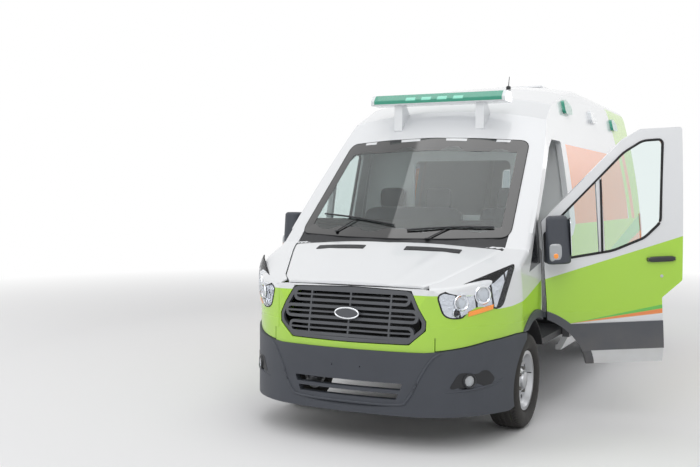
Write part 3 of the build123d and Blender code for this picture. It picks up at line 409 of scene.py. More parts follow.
@dataclass(frozen=True)
class Livery:
    """The painted body's colours by place: white, lime, orange, stripes, cladding and lining.

    Every boundary is a function of the distance behind the nose and the height above the ground, so
    that a colour runs on from panel to panel. On the open door the point is first turned back to
    where it is when the door is shut.
    """

    white: RGB = (0.74, 0.755, 0.775)
    lime: RGB = (0.39, 0.68, 0.028)
    deep_lime: RGB = (0.12, 0.52, 0.06)
    orange: RGB = (0.86, 0.24, 0.045)
    grey: RGB = (0.058, 0.064, 0.078)
    black: RGB = (0.012, 0.013, 0.016)
    lining: RGB = (0.42, 0.43, 0.45)
    dust: RGB = (0.33, 0.29, 0.24)
    streak: RGB = (0.60, 0.62, 0.66)
    # top of the lime from the nose rearwards, (behind the nose, above the ground)
    lime_top: tuple[Pair, ...] = (
        (0.30, 1.03), (0.42, 0.93), (0.55, 0.940), (0.8, 0.985), (1.2, 1.075), (2.3, 1.37), (2.42, 1.455),
    )
    panel_foot: float = 1.455
    stripe_start: Pair = (1.35, 0.735)
    white_rise: float = 0.076
    orange_rise: float = 0.126
    deep_rise: float = 0.168
    arch_trim: float = 0.521
    corner_start: Pair = (0.86, 1.15)
    middle: Pair = (3.4, 1.45)

    def panels(self, shader: Shader, colour: object, x: Socket, y: Socket, z: Socket) -> Socket:
        """Orange panel behind the doors, then the slanting lime band with its orange flash.

        Args:
            shader: the material under construction.
            colour: what is under them.
            x: absolute place across.
            y: distance behind the nose.
            z: height above the ground.

        Returns:
            The colour with them on it.
        """
        slant = shader.calc("MULTIPLY_ADD", z, 0.22, y)
        panel = shader.both(shader.between(y, 2.42, 5.05), shader.between(z, self.panel_foot, 2.14))
        colour = shader.blend(panel, colour, self.orange)
        off_middle = shader.above(x, 0.60)
        band = shader.both(shader.above(slant, 5.42), shader.between(z, 0.74, 2.66), off_middle)
        colour = shader.blend(band, colour, self.lime)
        in_height = shader.between(z, self.panel_foot, 2.30)
        flash = shader.both(shader.between(slant, 5.62, 5.82), in_height, off_middle)
        return shader.blend(flash, colour, self.orange)

    def stripes(self, shader: Shader, colour: object, x: Socket, y: Socket, z: Socket) -> Socket:
        """White, orange and deep green stripes that widen rearwards above the cladding.

        Args:
            shader: the material under construction.
            colour: what is under them.
            x: absolute place across.
            y: distance behind the nose.
            z: height above the ground.

        Returns:
            The colour with them on it.
        """
        start, low = self.stripe_start
        run = shader.calc("MAXIMUM", shader.calc("SUBTRACT", y, start), 0.0)
        on_side = shader.both(shader.above(y, start), shader.above(x, 0.80), shader.above(5.86, y))
        rises = (self.white_rise, self.orange_rise, self.deep_rise)
        white, orange, deep = (shader.calc("MULTIPLY_ADD", run, rise, low) for rise in rises)
        colour = shader.blend(shader.both(on_side, shader.between(z, orange, deep)), colour, self.deep_lime)
        colour = shader.blend(shader.both(on_side, shader.between(z, white, orange)), colour, self.orange)
        return shader.blend(shader.both(on_side, shader.above(white, z)), colour, self.white)

    def cladding(self, shader: Shader, x: Socket, y: Socket, z: Socket) -> Socket:
        """The grey cladding and the trims round the arches.

        Args:
            shader: the material under construction.
            x: absolute place across.
            y: distance behind the nose.
            z: height above the ground.

        Returns:
            Their mask.
        """
        masks = [shader.both(shader.between(z, 0.531, 0.7345, 0.0006), shader.between(y, 1.15, 5.88))]
        masks[0] = shader.both(masks[0], shader.above(x, 0.9))
        for axle in (FRONT_AXLE, REAR_AXLE):
            run_y = shader.calc("SUBTRACT", y, axle)
            run_z = shader.calc("SUBTRACT", z, HUB)
            squares = shader.calc("ADD", shader.both(run_y, run_y), shader.both(run_z, run_z))
            masks.append(shader.above(self.arch_trim, shader.calc("SQRT", squares), 0.0008))
        return shader.either(*masks)

    def corner(self, shader: Shader, x: Socket, y: Socket, z: Socket) -> Socket:
        """The black corner between the wing, the pillar and the door.

        Args:
            shader: the material under construction.
            x: absolute place across.
            y: distance behind the nose.
            z: height above the ground.

        Returns:
            Its mask.
        """
        start, low = self.corner_start
        run = shader.calc("SUBTRACT", y, start)
        over = shader.above(shader.calc("MULTIPLY_ADD", run, 1.30, low), z)
        under = shader.above(z, shader.calc("MULTIPLY_ADD", run, 0.16, low))
        return shader.both(over, under, shader.above(1.1805, y), shader.above(x, 0.70))

    def inside(self, shader: Shader, point: Socket, y: Socket, turn: Optional[Matrix]) -> Socket:
        """Faces that look inwards: their normal points towards the vehicle's middle line.

        Args:
            shader: the material under construction.
            point: the coordinates, turned back where the door is open.
            y: distance behind the nose.
            turn: the open door's rotation back, where there is one.

        Returns:
            Their mask.
        """
        facing = shader.node("TexCoord").outputs["Normal"]
        if turn is not None:
            facing = shader.turned(facing, turn)
        from_middle = shader.node("VectorMath", operation="SUBTRACT")
        shader.feed(point, from_middle.inputs[0])
        from_middle.inputs[1].default_value = (0.0, aft(self.middle[0]), up(self.middle[1]))
        outward = shader.node("VectorMath", operation="DOT_PRODUCT")
        shader.feed(facing, outward.inputs[0])
        shader.feed(from_middle.outputs[0], outward.inputs[1])
        return shader.both(shader.above(-0.25, outward.outputs["Value"], 0.05), shader.above(y, 1.19))

    def build(self, name: str, turned_back: Optional[tuple[Matrix, Vector]] = None) -> Material:
        """The livery as one material.

        Args:
            name: the material's name.
            turned_back: rotation and shift that take the open door's points to where they are when shut.

        Returns:
            The material.
        """
        shader = Shader(name)
        turn, shift = turned_back or (None, None)
        point = shader.turned(shader.point, turn, shift) if turned_back else shader.point
        x, y, z, _ = shader.axes(point)
        under_line = shader.above(shader.curve(y, self.lime_top), z)
        colour = shader.blend(under_line, self.white, self.lime)
        colour = self.panels(shader, colour, x, y, z)
        colour = self.stripes(shader, colour, x, y, z)
        trim = self.cladding(shader, x, y, z)
        colour = shader.blend(trim, colour, self.grey)
        colour = shader.blend(self.corner(shader, x, y, z), colour, self.black)
        inner = self.inside(shader, point, y, turn)
        colour = shader.blend(inner, colour, self.lining)
        # dust towards the road, and faint streaks
        low = shader.calc("SUBTRACT", 1.0, shader.above(z, 0.62, 0.22))
        dust = shader.calc("MULTIPLY", shader.calc("MULTIPLY", low, shader.noise(9.0, 5.0, point)), 0.34)
        colour = shader.blend(dust, colour, self.dust)
        tone = shader.calc("MULTIPLY", shader.noise(1.7, 3.0, point), 0.05)
        colour = shader.blend(tone, colour, self.streak)
        dull = shader.either(trim, inner)
        gloss = shader.calc("MULTIPLY_ADD", dull, 0.30, 0.27)
        gloss = shader.calc("ADD", gloss, shader.calc("MULTIPLY", dust, 0.6))
        coat = shader.calc("MULTIPLY_ADD", dull, -0.65, 0.7)
        shader.set(Base_Color=colour, Roughness=gloss, Coat_Weight=coat, Coat_Roughness=0.05)
        shader.bump(shader.noise(70.0, 2.0, point), 0.00035, 0.5)
        return shader.material


# Meshes from arrays


def grid_faces(rows: int, columns: int, wrap_rows: bool, wrap_columns: bool) -> Array:
    """Quads of a grid of points stored row by row.

    Args:
        rows: number of rows.
        columns: points in a row.
        wrap_rows: whether the last row joins the first.
        wrap_columns: whether each row is a ring.

    Returns:
        Point numbers, four for each quad.
    """
    last = (rows - (not wrap_rows), columns - (not wrap_columns))
    i, j = np.meshgrid(np.arange(last[0]), np.arange(last[1]), indexing="ij")
    i2, j2 = (i + 1) % rows, (j + 1) % columns
    quads = (i * columns + j, i * columns + j2, i2 * columns + j2, i2 * columns + j)
    return np.stack(quads, axis=-1).reshape(-1, 4)


def piece(
    name: str,
    points: Array,
    faces: Sequence[Sequence[int]],
    finish: Material,
    body: str,
    slot: Optional[str] = None,
    turn: Optional[Callable[[Array], Array]] = None,
    smooth: bool = True,
) -> bpy.types.Object:
    """Makes a mesh object of a closed surface and puts it on its body.

    Args:
        name: the piece's name.
        points: one row for each point, in the row frame.
        faces: point numbers of each face.
        finish: the material.
        body: the CAD body that carries it.
        slot: the record's material slot, where it has one; not used.
        turn: moves the points to where they stand at rest, as for the open door.
        smooth: whether the faces are shaded smooth, with edges kept sharp above 40 degrees.

    Returns:
        The object.
    """
    if turn:
        points = turn(points)
    mesh = bpy.data.meshes.new(name)
    mesh.from_pydata(np.asarray(points, float).tolist(), [], [list(map(int, face)) for face in faces])
    form = bmesh.new()
    form.from_mesh(mesh)
    bmesh.ops.remove_doubles(form, verts=form.verts, dist=1e-6)
    bmesh.ops.dissolve_degenerate(form, edges=form.edges, dist=1e-7)
    bmesh.ops.recalc_face_normals(form, faces=form.faces)
    form.to_mesh(mesh)
    form.free()
    if smooth:
        mesh.polygons.foreach_set("use_smooth", np.ones(len(mesh.polygons), bool))
        mesh.set_sharp_from_angle(angle=math.radians(40.0))
    mesh.materials.append(finish)
    thing = bpy.data.objects.new(name, mesh)
    bpy.context.scene.collection.objects.link(thing)
    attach(thing, body)
    log.info("%s: %d faces on %s", name, len(mesh.polygons), body)
    return thing


def capped(grid: Array) -> Surface:
    """Points and faces of a tube of rings, with a flat face on each end.

    Args:
        grid: rings x points x 3.

    Returns:
        The points, and the faces.
    """
    rings, count = grid.shape[:2]
    faces = grid_faces(rings, count, False, True).tolist()
    faces += [list(range(count))[::-1], list(range((rings - 1) * count, rings * count))]
    return grid.reshape(-1, 3), faces


def walled(face: Array, back: Array) -> Surface:
    """Two grids of the same shape as the two faces of one closed sheet."""
    return capped(np.concatenate((face, back[:, ::-1]), axis=1))


def joined(parts: Sequence[tuple[Array, Sequence[Sequence[int]]]]) -> Surface:
    """Several surfaces as one.

    Args:
        parts: points and faces of each.

    Returns:
        All points, and all faces.
    """
    points, faces, total = [], [], 0
    for own, quads in parts:
        points.append(own)
        faces += [[int(k) + total for k in quad] for quad in quads]
        total += len(own)
    return np.concatenate(points), faces


def frames(path: Array, closed: bool) -> tuple[Array, Array]:
    """Two directions square to a path at each of its points: tangents crossed with a steady upward axis.

    Args:
        path: points along it.
        closed: whether it is a ring.

    Returns:
        The direction across, and the one upwards.
    """
    ahead = np.roll(path, -1, 0) - np.roll(path, 1, 0)
    if not closed:
        ahead[0], ahead[-1] = path[1] - path[0], path[-1] - path[-2]
    ahead /= np.linalg.norm(ahead, axis=1, keepdims=True)
    steady = np.where(np.abs(ahead[:, 2:3]) > 0.9, [[0.0, 1.0, 0.0]], [[0.0, 0.0, 1.0]])
    across = np.cross(ahead, steady)
    across /= np.linalg.norm(across, axis=1, keepdims=True)
    return across, np.cross(across, ahead)


def tube(path: Array, radius: object, closed: bool = False, count: int = 12, flat: float = 1.0) -> Surface:
    """A round or flattened profile carried along a path: path + r (cos a across + flat sin a upward).

    Args:
        path: points along the middle.
        radius: radius, one or one for each point.
        closed: whether the path is a ring.
        count: points round the profile.
        flat: height of the profile over its width.

    Returns:
        Points and faces.
    """
    path = np.asarray(path, float)
    across, upward = frames(path, closed)
    angle = np.linspace(0, 2 * np.pi, count, endpoint=False)[None, :, None]
    r = np.broadcast_to(np.asarray(radius, float), (len(path),))[:, None, None]
    ring = np.cos(angle) * across[:, None] + flat * np.sin(angle) * upward[:, None]
    grid = path[:, None] + r * ring
    if closed:
        return grid.reshape(-1, 3), grid_faces(len(path), count, True, True).tolist()
    return capped(grid)


def smooth_path(points: Sequence[Sequence[float]], steps: int = 8) -> Array:
    """A smooth curve through points: cubic runs whose slopes come from each point's neighbours.

    Args:
        points: the points.
        steps: points made for each run.

    Returns:
        Points along the curve.
    """
    p = np.asarray(points, float)
    slopes = np.gradient(p, axis=0)
    t = np.linspace(0, 1, steps, endpoint=False)[None, :, None]
    a, b, m, n = (v[:, None] for v in (p[:-1], p[1:], slopes[:-1], slopes[1:]))
    run = (2 * t**3 - 3 * t**2 + 1) * a + (t**3 - 2 * t**2 + t) * m + (3 * t**2 - 2 * t**3) * b
    run = (run + (t**3 - t**2) * n).reshape(-1, p.shape[1])
    return np.vstack((run, p[-1:]))


def revolved(
    profile: Sequence[Sequence[float]], centre: Sequence[float], axis: Sequence[float], count: int = 48
) -> Surface:
    """A closed profile turned about an axis: centre + along axis + r (cos a u + sin a v).

    Args:
        profile: (radius, along) points.
        centre: a point on the axis, where along is 0.
        axis: its direction.
        count: steps round.

    Returns:
        Points and faces.
    """
    axis = np.asarray(axis, float) / np.linalg.norm(axis)
    side = np.cross(axis, [0.0, 0.0, 1.0] if abs(axis[2]) < 0.9 else [0.0, 1.0, 0.0])
    side /= np.linalg.norm(side)
    other = np.cross(axis, side)
    shape = np.asarray(profile, float)
    angle = np.linspace(0, 2 * np.pi, count, endpoint=False)[:, None, None]
    ring = np.cos(angle) * side + np.sin(angle) * other
    grid = np.asarray(centre, float) + shape[None, :, 1:2] * axis + shape[None, :, 0:1] * ring
    return grid.reshape(-1, 3), grid_faces(count, len(shape), True, True).tolist()


def bent(value: Array, power: float) -> Array:
    """A number's size raised to a power, with its sign kept."""
    return np.sign(value) * np.abs(value) ** power


def pillow(
    centre: Sequence[float],
    half: Sequence[float],
    square: float = 0.35,
    edge: float = 0.5,
    rows: int = 24,
    columns: int = 48,
    lean: float = 0.0,
    channels: int = 0,
    depth: float = 0.0,
) -> Surface:
    """A rounded block, leant back about X, with sewn channels.

    Its formula is x = a c(u)^e c(v)^s, y = b c(u)^e s(v)^s, z = h s(u)^e, with c and s the cosine and sine.

    Args:
        centre: its middle.
        half: half sizes along X, Y and Z.
        square: exponent in plan, small for square.
        edge: exponent in height, small for flat faces.
        rows: rings.
        columns: points round.
        lean: turn about X in radians.
        channels: sewn grooves across, that sink its face by depth.
        depth: how deep the grooves are.

    Returns:
        Points and faces.
    """
    u = np.linspace(-np.pi / 2, np.pi / 2, rows)[:, None]
    v = np.linspace(0, 2 * np.pi, columns, endpoint=False)[None, :]
    x = half[0] * bent(np.cos(u), edge) * bent(np.cos(v), square)
    y = half[1] * bent(np.cos(u), edge) * bent(np.sin(v), square)
    z = half[2] * bent(np.sin(u), edge) * np.ones_like(v)
    if channels:
        wave = np.cos(np.pi * (channels + 1) * (x / half[0])) ** 8
        z = z - np.sign(z) * depth * wave * (np.abs(z) > 0.4 * half[2])
    c, s = math.cos(lean), math.sin(lean)
    grid = np.stack((x, y * c - z * s, y * s + z * c), axis=-1) + np.asarray(centre, float)
    return grid.reshape(-1, 3), grid_faces(rows, columns, False, True).tolist()


def plate(outline: Array, normal: Sequence[float], thick: float) -> Surface:
    """A flat outline given a thickness along its normal, both faces closed.

    Args:
        outline: points round it.
        normal: its normal.
        thick: its thickness.

    Returns:
        Points and faces.
    """
    outline = np.asarray(outline, float)
    push = np.asarray(normal, float) * thick
    return capped(np.stack((outline - push / 2, outline + push / 2)))


def oval(half_x: float, half_z: float, count: int = 48) -> Array:
    """Points round an oval in X and Z: (a cos t, b sin t)."""
    t = np.linspace(0, 2 * np.pi, count, endpoint=False)
    return np.stack((half_x * np.cos(t), half_z * np.sin(t)), axis=-1)


def spread(edge: Array, rings: int) -> tuple[Array, Array]:
    """Rings from an outline's middle to its edge: middle + r (edge - middle).

    Args:
        edge: points round the outline.
        rings: how many rings.

    Returns:
        The share r of the way out, and the rings' points.
    """
    middle = edge.mean(0)
    r = np.linspace(0.02, 1, rings)[:, None, None]
    return r[..., 0] * np.ones(len(edge)), middle + r * (edge - middle)


def dress(names: Sequence[str], material: Material) -> None:
    """Gives CAD nodes a material.

    Args:
        names: the nodes.
        material: what they wear.
    """
    for name in names:
        node = frame["nodes"][name]
        if not node.data.materials:
            node.data.materials.append(material)
        for index in range(len(node.data.materials)):
            node.data.materials[index] = material
        log.info("%s wears %s", name, material.name)


class OpenDoor:
    """The left front door's turn from shut to how it stands."""

    def __init__(self) -> None:
        """Reads the hinge from the record."""
        joints = frame["record"]["behaviour"]["joints"]
        hinge = next(j for j in joints if j["name"] == "left_front_door_hinge")
        self.pivot = Vector(hinge["pos_m"])
        axis = Vector(hinge["axis"]).normalized()
        self.opened = Matrix.Rotation(-DOOR_OPEN, 3, axis)
        self.shut = Matrix.Rotation(DOOR_OPEN, 3, axis)

    def turn(self, points: Array) -> Array:
        """Points of the shut door as the door stands open."""
        pivot = np.array(self.pivot)
        return (np.asarray(points, float) - pivot) @ np.array(self.opened).T + pivot

    def back(self) -> tuple[Matrix, Vector]:
        """Rotation and shift that take a point on the open door to where it is when shut."""
        return self.shut, self.pivot - self.shut @ self.pivot


def on_screen(x: Array, z: Array, lift: float) -> Array:
    """Points on the windscreen, lifted off it.

    The glass is a cylinder of radius R whose axis lies in the plane of its slope: at x it drops by
    R - sqrt(R^2 - x^2) below the middle, square to the slope.

    Args:
        x: across, m.
        z: above the ground, m.
        lift: distance off the glass's outer face.

    Returns:
        One row for each point, in the row frame.
    """
    x, z = np.asarray(x, float), np.asarray(z, float)
    sink = 0.003 - lift + SCREEN_RADIUS - np.sqrt(SCREEN_RADIUS**2 - x**2)
    along = (z - SCREEN_FOOT[1] + math.cos(SCREEN_SLOPE) * sink) / math.sin(SCREEN_SLOPE)
    y = SCREEN_FOOT[0] + along * math.cos(SCREEN_SLOPE) + math.sin(SCREEN_SLOPE) * sink
    return np.stack((x, aft(y), up(z)), axis=-1)


def rounded(corners: Sequence[Sequence[float]], radius: float, steps: int = 6) -> Array:
    """An outline's corners rounded: each becomes a quadratic curve that starts and ends radius away.

    Args:
        corners: the outline.
        radius: distance from a corner to where its curve starts.
        steps: points on each curve.

    Returns:
        Points round the new outline.
    """
    c = np.asarray(corners, float)
    to_last = np.roll(c, 1, 0) - c
    to_next = np.roll(c, -1, 0) - c
    start = c + to_last / np.linalg.norm(to_last, axis=1, keepdims=True) * radius
    end = c + to_next / np.linalg.norm(to_next, axis=1, keepdims=True) * radius
    t = np.linspace(0, 1, steps)[None, :, None]
    run = (1 - t) ** 2 * start[:, None] + 2 * t * (1 - t) * c[:, None] + t**2 * end[:, None]
    return run.reshape(-1, 2)


def inset(outline: Array, amount: float) -> Array:
    """An outline moved inwards along its own normals.

    Args:
        outline: points round it.
        amount: how far, negative for outwards.

    Returns:
        The moved points.
    """
    ahead = np.roll(outline, -1, 0) - np.roll(outline, 1, 0)
    normal = np.stack((-ahead[:, 1], ahead[:, 0]), axis=-1)
    normal /= np.linalg.norm(normal, axis=1, keepdims=True) + 1e-12
    after = np.roll(outline, -1, 0)
    area = np.sum(outline[:, 0] * after[:, 1] - after[:, 0] * outline[:, 1])
    return outline + normal * amount * (1 if area > 0 else -1)


@dataclass
class Windscreen:
    """Black border, rubber seal and two wipers on the windscreen."""

    foot: Pair = (0.838, 1.405)
    head: Pair = (0.765, 2.112)
    low_middle: tuple[Pair, Pair] = ((0.0, 1.385), (0.42, 1.391))
    high_middle: tuple[Pair, Pair] = ((0.40, 2.134), (0.0, 2.146))
    corner: float = 0.05
    border: float = 0.052
    overlap: float = 0.016  # of the border on the body
    head_band: float = 0.034  # more border along the top
    seal_radius: float = 0.0035
    # name, then pivot, tip and heel, each (across, above the ground)
    wipers: tuple[tuple[str, Pair, Pair, Pair], ...] = (
        ("left_wiper", (0.28, 1.375), (0.73, 1.462), (0.10, 1.432)),
        ("right_wiper", (-0.50, 1.412), (-0.02, 1.468), (-0.70, 1.540)),
    )
    bow: float = 0.01  # of a blade
    blade_radius: float = 0.007
    arm_radius: float = 0.006

    def outline(self, shrink: float) -> Array:
        """The screen's outline in front view, (across, above the ground), drawn inwards by shrink."""
        half = [*self.low_middle, self.foot, self.head, *self.high_middle]
        return inset(rounded(half + [(-x, z) for x, z in half[4:0:-1]], self.corner), shrink)

    def border_rings(self) -> Array:
        """The border's section at each place round the screen.

        It lies on the glass inside, and climbs onto the body outside.

        Returns:
            Places x 6 x 3.
        """
        outer, middle = self.outline(-self.overlap), self.outline(0.004)
        inner = self.outline(0.004 + self.border)
        inner[:, 1] -= self.head_band * np.clip((inner[:, 1] - 2.0) / 0.08, 0.0, 1.0)
        lines = (outer, outer, middle, inner, inner, middle)
        lifts = (0.0020, 0.0050, 0.0050, 0.0016, 0.0004, 0.0004)
        return np.stack([on_screen(o[:, 0], o[:, 1], lift) for o, lift in zip(lines, lifts)], axis=1)

    def wiper(self, pivot: Pair, tip: Pair, heel: Pair) -> Surface:
        """A wiper: a blade bowed by a sine from heel to tip, an arm from the pivot to its middle, and a nut.

        Args:
            pivot: where the arm starts.
            tip: the blade's outer end.
            heel: the blade's inner end.

        Returns:
            Points and faces.
        """
        t = np.linspace(0, 1, 24)
        rise = heel[1] + (tip[1] - heel[1]) * t + self.bow * np.sin(np.pi * t)
        blade = on_screen(heel[0] + (tip[0] - heel[0]) * t, rise, 0.011)
        middle = ((heel[0] + tip[0]) / 2, (heel[1] + tip[1]) / 2 + self.bow)
        along = [start + (end - start) * t for start, end in zip(pivot, middle)]
        arm = on_screen(*along, 0.012)
        rod = tube(arm, self.arm_radius, count=8, flat=0.7)
        nut = pillow(arm[0], (0.018, 0.018, 0.006), 1.0, 1.0, 10, 20)
        return joined([tube(blade, self.blade_radius, count=8), rod, nut])

    def build(self) -> None:
        """Makes the border, the seal and the wipers."""
        grid = self.border_rings()
        faces = grid_faces(*grid.shape[:2], True, True)
        piece("screen_border", grid.reshape(-1, 3), faces, FRIT.build(), "body", "cab_plastic")
        line = self.outline(-self.overlap - 0.002)
        seal = tube(on_screen(line[:, 0], line[:, 1], 0.0040), self.seal_radius, closed=True, count=10)
        piece("screen_seal", *seal, RUBBER.build(), "body", "cab_plastic")
        for name, *places in self.wipers:
            piece(name, *self.wiper(*places), BLACK_TRIM.build(), "body", "cab_plastic")


@dataclass
class Tyre:
    """A road tyre: shoulders, four grooves round and lugs across, on the CAD tyre's size."""

    radius: float = 0.3495
    tread_half: float = 0.092
    crown_drop: float = 0.012
    groove: float = 0.007
    grooves: tuple[float, ...] = (-0.056, -0.019, 0.019, 0.056)
    groove_half: float = 0.0042
    lugs: int = 72
    lug_slant: float = 2.2  # in lugs, from the middle to the shoulder
    lug_gap: float = 0.25  # share of a lug's length
    lug_start: float = 0.064
    sipe_gap: float = 0.14
    sipe_end: float = 0.05
    steps: int = 288
    rim_line: float = 0.300
    # the right wall from the shoulder to the bead, (across, radius)
    wall: tuple[Pair, ...] = (
        (0.100, 0.331), (0.109, 0.318), (0.115, 0.298), (0.117, 0.276),
        (0.113, 0.252), (0.103, 0.233), (0.092, 0.222), (0.088, 0.2165),
    )

    def build(self, node: str, body: str, x: float, y: float) -> None:
        """Makes one tyre.

        The tread is a surface of two parameters, the angle round and the place across: its radius falls
        by the groove's depth where a groove runs, and at the lugs' gaps on both shoulders.

        Args:
            node: the CAD tyre it stands for.
            body: the wheel that carries it.
            x: middle of the wheel across.
            y: axle behind the nose.
        """
        across = np.linspace(-self.tread_half, self.tread_half, 47)
        crown = self.radius - self.crown_drop * (np.abs(across) / self.tread_half) ** 3
        right = np.array(self.wall)
        profile = np.concatenate((np.stack((across, crown), -1), right, right[::-1] * [-1, 1]))
        angle = np.linspace(0, 2 * np.pi, self.steps, endpoint=False)[:, None]
        a, r = profile[None, :, 0], profile[None, :, 1]
        tread = np.abs(a) < self.tread_half + 0.0005
        lines = [np.exp(-(((a - g) / self.groove_half) ** 4)) for g in self.grooves]
        rounds = np.max(lines, axis=0) * np.ones_like(angle)
        phase = (angle * self.lugs / (2 * np.pi) + self.lug_slant * np.abs(a) / self.tread_half) % 1.0
        lugs = (phase < self.lug_gap) * (np.abs(a) > self.lug_start)
        sipes = (phase < self.sipe_gap) * (np.abs(a) < self.sipe_end) * 0.5
        sink = self.groove * np.maximum(np.maximum(rounds, lugs), sipes) * tread
        radius = r - sink + 0.0012 * (np.abs(r - self.rim_line) < 0.006) * ~tread
        ring = (aft(y) + radius * np.cos(angle), up(HUB) + radius * np.sin(angle))
        faces = grid_faces(self.steps, len(profile), True, True)
        shader = bpy.data.materials.get("tyre_rubber") or self.rubber()
        points = np.stack((x + a * np.ones_like(angle), *ring), axis=-1).reshape(-1, 3)
        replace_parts(piece(node + "_tread", points, faces, shader, body, "rubber"), node)

    def rubber(self) -> Material:
        """Rubber, dusty and paler in patches.

        Returns:
            The material.
        """
        shader = Shader("tyre_rubber")
        patch = shader.calc("MULTIPLY", shader.noise(14.0, 5.0), 0.55)
        colour = shader.blend(patch, (0.016, 0.016, 0.017), (0.075, 0.068, 0.060))
        shader.set(Base_Color=colour, Roughness=0.85)
        shader.bump(shader.noise(240.0, 2.0), 0.0006)
        return shader.material


@dataclass
class WheelCentre:
    """Hub cap, five nuts and the valve of a steel wheel. Profiles are (radius, along the axle)."""

    cap: tuple[Pair, ...] = (
        (0.0005, 0.0), (0.064, 0.0), (0.064, 0.022), (0.058, 0.034), (0.040, 0.040), (0.0005, 0.042),
    )
    nut: tuple[Pair, ...] = ((0.0005, 0.0), (0.014, 0.0), (0.014, 0.020), (0.010, 0.027), (0.0005, 0.028))
    nuts: int = 5
    nut_circle: float = 0.086
    valve_back: float = 0.150

    def build(self, wheel: str, side: Side, y: float) -> None:
        """Makes one wheel's centre.

        Args:
            wheel: the wheel's body.
            side: the vehicle's side.
            y: axle behind the nose.
        """
        out = side.value
        x = out * HALF_TRACK
        axis = (out, 0, 0)
        cap = revolved(self.cap, (x + out * 0.052, aft(y), up(HUB)), axis, 48)
        piece(wheel + "_cap", *cap, SATIN_METAL.build(), wheel, "steel_wheel")
        nuts = []
        for k in range(self.nuts):
            turn = 2 * math.pi * k / self.nuts
            back, rise = self.nut_circle * math.cos(turn), self.nut_circle * math.sin(turn)
            nuts.append(revolved(self.nut, (x + out * 0.050, aft(y) + back, up(HUB) + rise), axis, 6))
        piece(wheel + "_nuts", *joined(nuts), CAST.build(), wheel, "steel_wheel", smooth=False)
        foot = np.array((x + out * 0.060, aft(y) + self.valve_back, up(HUB) + 0.03))
        valve = tube(np.array((foot, foot + (out * 0.03, 0.004, 0.0))), 0.004, count=10)
        piece(wheel + "_valve", *valve, BLACK_TRIM.build(), wheel, "steel_wheel")


def arc_from(start: Sequence[float], ahead: Sequence[float], end: Sequence[float], count: int) -> Array:
    """Points on the circle that leaves start in the direction ahead and passes through end.

    Its radius is the squared chord over twice the chord's part square to that direction.

    Args:
        start: first point.
        ahead: direction there.
        end: last point.
        count: points made.

    Returns:
        The points.
    """
    s, e, t = (np.asarray(v, float) for v in (start, end, ahead))
    t = t / np.linalg.norm(t)
    square = np.array((-t[1], t[0]))
    chord = e - s
    radius = chord @ chord / (2 * square @ chord)
    centre = s + radius * square
    first, last = (math.atan2(*(p - centre)[::-1]) for p in (s, e))
    angle = np.linspace(first, last, count)
    return centre + abs(radius) * np.stack((np.cos(angle), np.sin(angle)), axis=-1)


@dataclass(frozen=True)
class NoseForm:
    """The nose's outer form: its outline in plan, its side, and its two crowned slopes."""

    bonnet_foot: Pair = (0.060, 1.092)
    bonnet_slope: float = math.radians(21.0)
    bonnet_radius: float = 5.2
    rake: float = 0.20
    rake_foot: float = 0.70
    front_end: Pair = (0.430, 0.034)
    corner_end: Pair = (0.850, 0.300)
    side_end: Pair = (1.040, 1.150)
    waist_half: float = 1.024
    waist_top: float = 0.8
    side_radius: float = 6.910

    def plan(self) -> Array:
        """The left half of the outline in plan: three arcs, each tangent to the last.

        Returns:
            (across, behind the nose) points.
        """
        line = arc_from((0.0, 0.0), (1.0, 0.0), self.front_end, 24)
        arcs = ((self.front_end, self.corner_end, 40), (self.corner_end, self.side_end, 50))
        for start, end, count in arcs:
            line = np.vstack((line, arc_from(start, line[-1] - line[-2], end, count)[1:]))
        return np.vstack((line, [(self.side_end[0], 1.20)]))

    def side(self, z: Array) -> Array:
        """Half width at a height: the waist, then an arc that leans in above it."""
        rise = np.maximum(np.asarray(z, float) - self.waist_top, 0.0)
        return self.waist_half - self.side_radius + np.sqrt(self.side_radius**2 - rise**2)

    def crowned(self, x: Array, y: Array, foot: Pair, slope: float, radius: float) -> Array:
        """Height of a crowned slope: its rise behind its foot, less the drop of its crown's circle.

        Args:
            x: across.
            y: behind the nose.
            foot: its foot in the middle, (behind the nose, above the ground).
            slope: in radians.
            radius: of its crown.

        Returns:
            Heights above the ground.
        """
        drop = radius - np.sqrt(radius**2 - np.asarray(x, float) ** 2)
        return foot[1] + (y - foot[0]) * math.tan(slope) - drop / math.cos(slope)

    def bonnet(self, x: Array, y: Array) -> Array:
        """Height of the bonnet's slope."""
        return self.crowned(x, y, self.bonnet_foot, self.bonnet_slope, self.bonnet_radius)

    def top(self, x: Array, y: Array) -> Array:
        """The higher of the bonnet's slope and the windscreen's."""
        return np.maximum(self.bonnet(x, y), self.crowned(x, y, SCREEN_FOOT, SCREEN_SLOPE, SCREEN_RADIUS))


NOSE = NoseForm()
# the bonnet's edges on the left side, (across, behind the nose)
BONNET_EDGE = np.array(((0.440, -0.060), (0.470, 0.060), (0.600, 0.215), (0.806, 0.690), (0.848, 0.806)))
BONNET_REAR = np.array(((0.0, 0.716), (0.600, 0.760), (0.848, 0.806)))


